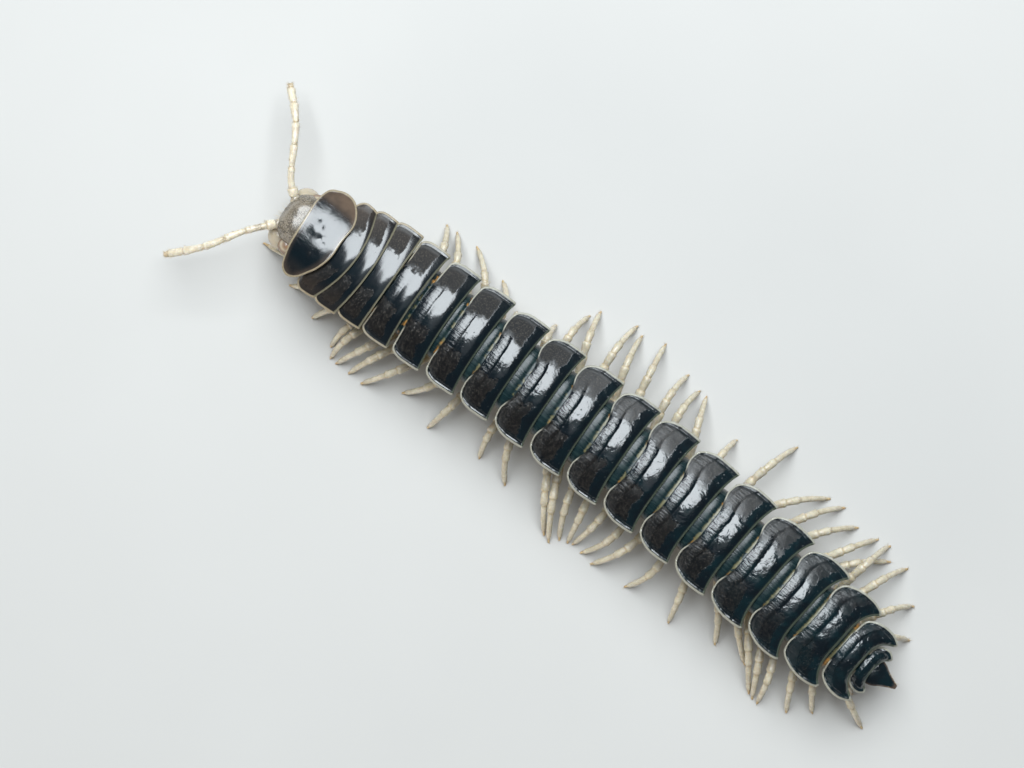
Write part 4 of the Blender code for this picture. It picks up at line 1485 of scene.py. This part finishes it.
@dataclass
class Legs:
    """All walking legs: pairs 1 to 3 on rings 2 to 4, and in twos on each side of rings 5 to 18."""

    chain: Chain
    skin: Material
    hair: Material
    gaits: tuple[Gait, Gait] = (LEFT_GAIT, RIGHT_GAIT)
    hip_v: float = 0.85
    bend_at_share: float = 0.6
    foot_spread: float = 0.023
    view_middle: Pair = (6.29, -0.28)
    heights: Keys = keyed({
        0.0: 1.85, 0.05: 1.36, 0.11: 1.14, 0.27: 1.34, 0.44: 1.82, 0.60: 1.98, 0.74: 1.50, 0.87: 0.76,
        0.95: 0.24, 1.0: 0.05})
    lifted: Pair = (0.2, 0.9)
    lift_fade: float = 0.08
    seed: int = 11
    bounds: tuple[float, ...] = (0.0, 0.11, 0.25, 0.44, 0.58, 0.70, 0.96, 1.0)
    girth: Keys = keyed({
        0.0: 0.36, 0.10: 0.35, 0.25: 0.30, 0.44: 0.28, 0.58: 0.26, 0.72: 0.225, 0.86: 0.175,
        0.95: 0.125, 1.0: 0.04})
    hairs: Hairs = Hairs(22, (0.10, 0.24))
    hairs_from: float = 0.28

    def spread(self, place: Vector, amount: float) -> Vector:
        """Move a place out from the middle of the view."""
        middle = Vector((*self.view_middle, place.z))
        return place + (place - middle) * amount

    def path(self, number: int, gait: Gait, hip_u: float, pair: int) -> Line:
        """The line of one leg, from its hip to its claw.

        Args:
            number: number of the ring.
            gait: where the feet of that side stand.
            hip_u: how far ahead of the ring's place the hip lies.
            pair: number of the pair of legs.

        Returns:
            A function that gives world points for shares of the leg.
        """
        place = self.chain.places[number]
        side = gait.side.value
        swing = between(gait.swing, pair)
        reach = between(gait.reach, pair)
        hip = place.point(hip_u, side * self.hip_v, 0.0)
        foot = place.point(hip_u + swing, side * reach, 0.0)
        pull_v = self.hip_v + (reach - self.hip_v) * self.bend_at_share
        pull = place.point(hip_u + swing / 2 + between(gait.bend, pair), side * pull_v, 0.0)
        foot = self.spread(foot, self.foot_spread)
        pull = self.spread(pull, self.foot_spread / 2)
        lift = between(gait.lift, pair)

        def line(shares: Array) -> Array:
            """World points at shares of the leg."""
            t = shares[:, None]
            bow = np.array(hip) * (1 - t) ** 2 + np.array(pull) * 2 * t * (1 - t) + np.array(foot) * t**2
            start, end = self.lifted
            raised = step(start, start + self.lift_fade, shares)
            raised = raised * (1 - step(end - self.lift_fade, end, shares))
            bow[:, 2] = smooth(self.heights, shares) * (1 + (lift - 1) * raised)
            return bow

        return line

    def build(self) -> None:
        """Make every leg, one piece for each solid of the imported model."""
        rng = np.random.default_rng(self.seed)
        limb = Limb(Podomeres(self.bounds, self.girth), self.hairs, self.hairs_from)
        pair = 1
        for number in range(2, LAST_RING):
            hips = self.chain.hips(number)
            for gait in self.gaits:
                mesh = bmesh.new()
                for step_back, hip_u in enumerate(hips):
                    limb.lay(mesh, self.path(number, gait, hip_u, pair + step_back), rng)
                node = f"{'leg' if len(hips) == 1 else 'legs'}_{number:02d}_{gait.side.name.lower()}"
                add_piece(f"walking_{node}", mesh, (self.skin, self.hair), [node])
            pair += len(hips)


@dataclass
class Antennae:
    """Two antennae of seven joints, hairy, with small sense cones at the tip."""

    skin: Material
    hair: Material
    left: tuple[Triple, ...] = (
        (24.22, 0.95, 3.30), (24.73, 1.59, 3.50), (25.36, 2.42, 3.65), (26.75, 4.70, 3.50),
        (28.60, 6.80, 2.60))
    right: tuple[Triple, ...] = (
        (24.32, -1.14, 3.30), (25.15, -1.89, 3.50), (25.55, -2.50, 3.62), (27.10, -4.88, 3.50),
        (28.97, -6.60, 2.60))
    joint_lengths: tuple[float, ...] = (0.56, 1.31, 1.38, 1.38, 1.31, 1.06, 0.31)
    girth: Keys = keyed({
        0.0: 0.33, 0.05: 0.32, 0.10: 0.25, 0.14: 0.225, 0.35: 0.225, 0.70: 0.24, 0.90: 0.255,
        0.97: 0.21, 1.0: 0.12})
    hairs: Hairs = Hairs(260, (0.10, 0.22), 0.009)
    hairs_from: float = 0.06
    seed: int = 5
    stain_at: float = 0.14
    stain_width: float = 0.025
    cones: int = 4
    cone_radius: float = 0.032
    cone_length: float = 0.10
    cone_taper: float = 0.4
    cone_spread: float = 1.8
    cone_sunk: float = 0.3

    def build(self) -> None:
        """Make both antennae."""
        rng = np.random.default_rng(self.seed)
        reached = np.cumsum((0.0, *self.joint_lengths)) / sum(self.joint_lengths)
        podomeres = Podomeres(tuple(reached), self.girth, neck=0.76, swell=1.05)
        limb = Limb(podomeres, self.hairs, self.hairs_from)
        for side, route in ((Side.LEFT, self.left), (Side.RIGHT, self.right)):
            points = np.array(route)
            spans = np.linalg.norm(np.diff(points, axis=0), axis=1)
            at = np.concatenate(([0.0], np.cumsum(spans))) / spans.sum()

            def line(shares: Array, at: Array = at, points: Array = points) -> Array:
                """World points at shares of the antenna."""
                return np.stack([smooth(dict(zip(at, axis)), shares) for axis in points.T], axis=1)

            mesh = bmesh.new()
            limb.lay(mesh, line, rng)
            if side is Side.LEFT:
                layer = mesh.verts.layers.float["share"]
                shares = np.array([vert[layer] for vert in mesh.verts])
                mark_all(mesh, "stain", ridge(shares, self.stain_at, self.stain_width))
            self.sense_cones(mesh, line(np.array([0.98, 1.0])))
            node = f"antenna_{side.name.lower()}"
            add_piece(f"jointed_{node}", mesh, (self.skin, self.hair), [node])

    def sense_cones(self, mesh: BMesh, end: Array) -> None:
        """Add a few short cones on the tip.

        Args:
            mesh: the antenna's mesh.
            end: a point just before the tip, and the tip.
        """
        tip = Vector(end[1])
        heading = (tip - Vector(end[0])).normalized()
        turn = heading.to_track_quat("Z", "Y").to_matrix().to_4x4()
        for cone in range(self.cones):
            angle = (cone + 0.5) * 2 * pi / self.cones
            aside = turn @ Vector((cos(angle), sin(angle), 0.0)) * self.cone_radius * self.cone_spread
            place = Matrix.Translation(tip + aside - heading * self.cone_length * self.cone_sunk) @ turn
            bmesh.ops.create_cone(mesh, cap_ends=True, segments=8, radius1=self.cone_radius,
                                  radius2=self.cone_radius * self.cone_taper, depth=self.cone_length,
                                  matrix=place)


@dataclass(frozen=True)
class Mass:
    """One rounded part of the head.

    offset is its middle from the head's centre, half holds its half sizes, fineness is how often
    its faces are divided, cheek and amber are its shares of cream and brown, and turn_deg is its
    turn about the upright.
    """

    offset: Triple
    half: Triple
    fineness: int = 4
    cheek: float = 0.0
    amber: float = 0.0
    turn_deg: float = 0.0

    def on(self, side: Side) -> "Mass":
        """The same part on one side of the head, as it was drawn for the left."""
        x, y, z = self.offset
        return replace(self, offset=(x, side.value * y, z), turn_deg=side.value * self.turn_deg)


@dataclass
class Head:
    """Head capsule with its cheeks, hind lobes and jaws in pairs, its lip and chin, and sockets."""

    finish: Material
    hair: Material
    centre: Triple = (22.73, -0.06, 2.75)
    half: Triple = (1.60, 1.80, 1.50)
    capsule_shift: float = -0.20
    yaw_deg: float = 2.0
    pairs: tuple[Mass, ...] = (
        Mass((0.88, 1.40, -0.40), (0.88, 0.78, 0.78), cheek=1.0, turn_deg=-38.0),
        Mass((0.13, 1.62, -0.06), (0.66, 0.60, 0.74), amber=1.0),
        Mass((0.90, 0.72, -1.18), (0.52, 0.44, 0.42), cheek=0.8))
    singles: tuple[Mass, ...] = (
        Mass((1.22, 0.0, -1.12), (0.34, 0.86, 0.44), cheek=0.6),
        Mass((0.10, 0.0, -1.30), (1.05, 0.95, 0.42), cheek=0.8))
    seam: Pair = (0.80, 0.10)
    fullness: Triple = (0.88, 0.70, 0.94)
    lean: Pair = (0.10, 0.12)
    # Middle of a painted orange glint near the left hind lobe, standing for a leaf's reflection.
    spot: Triple = (22.58, 1.62, 3.50)
    painted_glint_width: float = 0.13
    furrow_depth: float = 0.010
    furrow_width: float = 0.035
    narrowing: float = 0.16
    muzzle: float = 0.10
    sockets: tuple[Triple, ...] = ((24.10, 0.83, 3.22), (24.18, -1.02, 3.22))
    socket_half: Triple = (0.26, 0.38, 0.36)
    bristles: Hairs = Hairs(70, (0.28, 0.55), 0.010, 0.30)
    bristled_across: Pair = (-0.62, 0.62)
    bristled_up: Pair = (-0.75, 0.25)
    seed: int = 3

    def pose(self) -> Matrix:
        """Place and turn of the head."""
        return Matrix.Translation(self.centre) @ Matrix.Rotation(radians(self.yaw_deg), 4, "Z")

    def add(self, mesh: BMesh, mass: Mass) -> Array:
        """Add one rounded part.

        Args:
            mesh: the head's mesh.
            mass: the part.

        Returns:
            The places of its vertices on a ball of unit radius.
        """
        before = len(mesh.verts)
        bmesh.ops.create_icosphere(mesh, subdivisions=mass.fineness, radius=1.0)
        mesh.verts.ensure_lookup_table()
        verts = mesh.verts[before:]
        ball = places_of(verts)
        turn = Matrix.Rotation(radians(mass.turn_deg), 4, "Z")
        shape = self.pose() @ Matrix.Translation(mass.offset) @ turn @ Matrix.Diagonal((*mass.half, 1.0))
        for vert in verts:
            vert.co = shape @ vert.co
        # Cream is palest on the outer side of a part, and brown has a pale seam above it.
        mark_all(mesh, "cheek", mass.cheek * (0.45 + 0.55 * step(-0.2, 0.8, np.abs(ball[:, 1]))), before)
        mark_all(mesh, "amber", np.full(len(ball), mass.amber), before)
        mark_all(mesh, "edge", mass.amber * ridge(ball[:, 2], *self.seam), before)
        return ball

    def capsule(self, mesh: BMesh) -> None:
        """Add the main capsule, narrower toward the mouth and with a faint furrow along the crown.

        Args:
            mesh: the head's mesh.
        """
        before = len(mesh.verts)
        ball = self.add(mesh, Mass((0.0, 0.0, 0.0), self.half, fineness=6))
        x, y, z = squared(ball, np.array(self.fullness)).T
        z = z + self.lean[0] * x + self.lean[1] * y
        furrow = ridge(y, 0.0, self.furrow_width) * step(-0.2, 0.3, x) * step(0.0, 0.4, z)
        low = step(0.0, 1.0, -z)
        x = x + self.muzzle * low * step(0.0, 1.0, x)
        sunk = 1 - self.furrow_depth * furrow
        shaped = np.stack((x * sunk, y * (1 - self.narrowing * low), z * sunk), axis=1)
        pose = self.pose()
        mesh.verts.ensure_lookup_table()
        shift = np.array((0.0, self.capsule_shift, 0.0))
        for vert, place in zip(mesh.verts[before:], shaped * np.array(self.half) + shift):
            vert.co = pose @ Vector(place)

    def build(self) -> None:
        """Make the head."""
        mesh = bmesh.new()
        self.capsule(mesh)
        for mass in [mass.on(side) for side in Side for mass in self.pairs]:
            self.add(mesh, mass)
        for mass in self.singles:
            self.add(mesh, mass)
        for socket in self.sockets:
            offset = self.pose().inverted() @ Vector(socket)
            self.add(mesh, Mass(tuple(offset), self.socket_half, fineness=3, cheek=0.9))
        # Paint an orange glint, a leaf's reflection, around that middle.
        away = np.linalg.norm(places_of(mesh.verts[:]) - self.spot, axis=1)
        mark_all(mesh, "spot", ridge(away, 0.0, self.painted_glint_width))
        rng = np.random.default_rng(self.seed)
        across = rng.uniform(*self.bristled_across, self.bristles.count)
        up = rng.uniform(*self.bristled_up, self.bristles.count)
        ahead = np.sqrt(np.clip(1 - across**2 - up**2, 0.05, 1.0))
        outward = np.stack((ahead, across, up), axis=1)
        turn = np.array(self.pose().to_3x3())
        roots = (outward * np.array(self.half)) @ turn.T + np.array(self.centre)
        self.bristles.grow(mesh, roots, outward @ turn.T, rng)
        add_piece("head_capsule", mesh, (self.finish, self.hair), ["head"])


@dataclass
class Tail:
    """Tapered tail piece behind ring 19, a flat triangle with bristles near its tip."""

    chain: Chain
    finish: Material
    hair: Material
    turn_deg: float = 5.0
    start_u: float = 0.33
    length: float = 2.23
    half: Keys = keyed({0.0: 0.70, 0.50: 0.90, 0.90: 0.82, 1.35: 0.56, 1.80: 0.33, 2.10: 0.21, 2.28: 0.13})
    low: Keys = keyed({0.0: 2.60, 0.60: 2.45, 1.15: 2.60, 1.75: 2.85, 2.28: 2.98})
    high: Keys = keyed({0.0: 3.62, 0.60: 3.60, 1.15: 3.46, 1.75: 3.26, 2.28: 3.12})
    edge_share: float = 0.72
    flatness: float = 2.4
    inside: float = 0.05
    pale_rim: Pair = (0.02, 0.14)
    pale_rim_fade: float = 0.35
    turns: int = 48
    stations: int = 30
    bristles: Hairs = Hairs(14, (0.22, 0.42), 0.011, 0.2)
    bristled_back: float = 1.1
    bristled_out: float = 0.6
    bristle_splay: float = 0.5
    seed: int = 9

    def build(self) -> None:
        """Make the tail piece."""
        place = self.chain.places[LAST_RING]
        start = place.point(self.start_u, 0.0, 0.0)
        tail = RingPlace(LAST_RING + 1, start.x, start.y, place.heading + radians(self.turn_deg))
        mesh = bmesh.new()
        x, y, along = places_of(add_tube(mesh, self.turns, self.stations)).T
        back = self.inside + (1 - along) / 2 * self.length
        half, low, high = (smooth(keys, back) for keys in (self.half, self.low, self.high))
        edge = low + self.edge_share * (high - low)
        roof = 1 - np.abs(x) ** self.flatness
        z = edge + np.where(y > 0, (high - edge) * roof, (edge - low) * y)
        points = tail.points(-back, half * x, z)
        place_all(mesh.verts, points)
        margin = (1 - np.abs(x)) * half
        tipped = step(0.0, self.pale_rim_fade, self.inside + self.length - back)
        mark_evenly(mesh, side=1.0, rear=1.0, front=1.0, across=0.0, along=0.0, under=0.0, pale=1.0,
                    backward=1.0, rugged=1.0)
        mark_all(mesh, "amber", 1 - step(*self.pale_rim, margin) * tipped)
        bmesh.ops.recalc_face_normals(mesh, faces=mesh.faces[:])
        rng = np.random.default_rng(self.seed)
        backward = -np.array((cos(tail.heading), sin(tail.heading), 0.0))
        near_tip = np.flatnonzero((back > self.bristled_back) & (np.abs(x) > self.bristled_out))
        chosen = rng.choice(near_tip, self.bristles.count)
        sideways = np.array((-sin(tail.heading), cos(tail.heading), 0.0))
        aways = backward[None, :] + self.bristle_splay * np.sign(x[chosen])[:, None] * sideways[None, :]
        self.bristles.grow(mesh, points[chosen], aways, rng)
        add_piece("tail_piece", mesh, (self.finish, self.hair), ["telson"])


@dataclass
class Trunk:
    """Collum, neck, ring plates and the body below them."""

    chain: Chain
    shell: Material
    skin: Material

    def build(self) -> None:
        """Make the plates and the bodies of all rings."""
        blank = ShellBlank().make()
        collum = Collum(self.chain, 1)
        add_piece("collum_shield", collum.make(blank), (self.shell,), ["collum"])
        add_piece("neck", Neck(self.chain).make(), (self.skin,), ["collum"])
        for number in range(2, LAST_RING + 1):
            node = f"ring_{number:02d}"
            plate = Plate(self.chain, number).make(blank)
            body = RingBody(self.chain, number).make()
            add_piece(f"{node}_plate", plate, (self.shell,), [node])
            add_piece(f"{node}_body", body, (self.skin,), [node])
        blank.free()


@dataclass(frozen=True)
class Softbox:
    """A rectangular light that faces the animal. Its place and size are in metres."""

    name: str
    place: Triple
    size: Pair
    power: float
    colour: Colour
    mirrored: bool = True

    def build(self) -> None:
        """Make the light, kept out of the animal's gloss where it isn't mirrored."""
        data = bpy.data.lights.new(self.name, "AREA")
        data.shape = "RECTANGLE"
        data.size, data.size_y = self.size
        data.energy = self.power
        data.color = self.colour
        light = link_new(self.name, data)
        light.visible_glossy = self.mirrored
        light.location = self.place
        light.rotation_euler = (-Vector(self.place)).to_track_quat("-Z", "Y").to_euler()


@dataclass(frozen=True)
class Studio:
    """Pale floor, soft light from the top of the picture, and the camera."""

    camera_place: Triple = (4.230, 0.4634, 182.0)
    turn_deg: float = 38.0
    lens: float = 100.0
    clip_start: float = 0.01
    sky: Colour = (0.80, 0.86, 0.95)
    sky_strength: float = 0.055
    floor_size: float = 0.6
    floor_tones: tuple[Colour, Colour] = ((0.47, 0.46, 0.44), (0.51, 0.50, 0.48))
    floor_roughness: float = 0.6
    lights: tuple[Softbox, ...] = (
        Softbox("softbox", (0.090, -0.115, 0.262), (0.27, 0.27), 1.92, (0.90, 0.96, 1.0)),
        Softbox("side_fill", (0.03, 0.34, 0.062), (0.34, 0.09), 0.80, (1.0, 0.98, 0.95), mirrored=False),
        Softbox("top_fill", (-0.02, 0.03, 0.40), (0.30, 0.30), 0.09, (0.90, 0.96, 1.0)))

    def build(self) -> None:
        """Make the floor, the lights and the camera."""
        bpy.context.scene.view_settings.view_transform = "Standard"
        self.floor()
        for light in self.lights:
            light.build()
        world = bpy.data.worlds.new("studio")
        world.use_nodes = True
        background = world.node_tree.nodes["Background"]
        background.inputs["Color"].default_value = (*self.sky, 1.0)
        background.inputs["Strength"].default_value = self.sky_strength
        bpy.context.scene.world = world
        self.camera()

    def camera(self) -> None:
        """The camera over the animal, turned as the photo was taken."""
        data = bpy.data.cameras.new("photo_view")
        data.lens = self.lens
        data.clip_start = self.clip_start
        camera = link_new("photo_view", data)
        turn = radians(self.turn_deg)
        right = Vector((-cos(turn), -sin(turn), 0.0))
        up = Vector((sin(turn), -cos(turn), 0.0))
        back = Vector((0.0, 0.0, 1.0))
        pose = Matrix((right, up, back)).transposed().to_4x4()
        camera.matrix_world = Matrix.Translation(Vector(self.camera_place) * MM) @ pose
        bpy.context.scene.camera = camera

    def floor(self) -> None:
        """A wide pale floor."""
        mesh = bmesh.new()
        bmesh.ops.create_grid(mesh, x_segments=2, y_segments=2, size=self.floor_size)
        data = bpy.data.meshes.new("floor")
        mesh.to_mesh(data)
        mesh.free()
        recipe = Recipe("pale_floor")
        tone = recipe.noise(recipe.place(), 0.05, 3.0)
        recipe.drive("Base Color", tone.blend(*self.floor_tones))
        recipe.fixed(Roughness=self.floor_roughness)
        data.materials.append(recipe.material)
        floor = link_new("floor", data)


def main() -> None:
    """Build the animal and the studio around it."""
    logging.basicConfig(level=logging.INFO, format="%(message)s")
    shell = PlateFinish().make()
    skin = BodyFinish().make()
    hair = HairFinish().make()
    leg_skin = LimbFinish("cream_legs", skin=(0.44, 0.385, 0.285), pale=(0.55, 0.50, 0.39),
                          amber=(0.38, 0.28, 0.15), tip=(0.47, 0.33, 0.17)).make()
    antenna_skin = LimbFinish("cream_antennae", skin=(0.56, 0.49, 0.37), pale=(0.68, 0.62, 0.50),
                              amber=(0.42, 0.31, 0.18), tip=(0.52, 0.42, 0.28)).make()
    head_skin = HeadFinish().make()
    chain = Chain()
    Trunk(chain, shell, skin).build()
    Head(head_skin, hair).build()
    Antennae(antenna_skin, hair).build()
    Tail(chain, shell, hair).build()
    Legs(chain, leg_skin, hair).build()
    Studio().build()


if __name__ == "__main__":
    main()
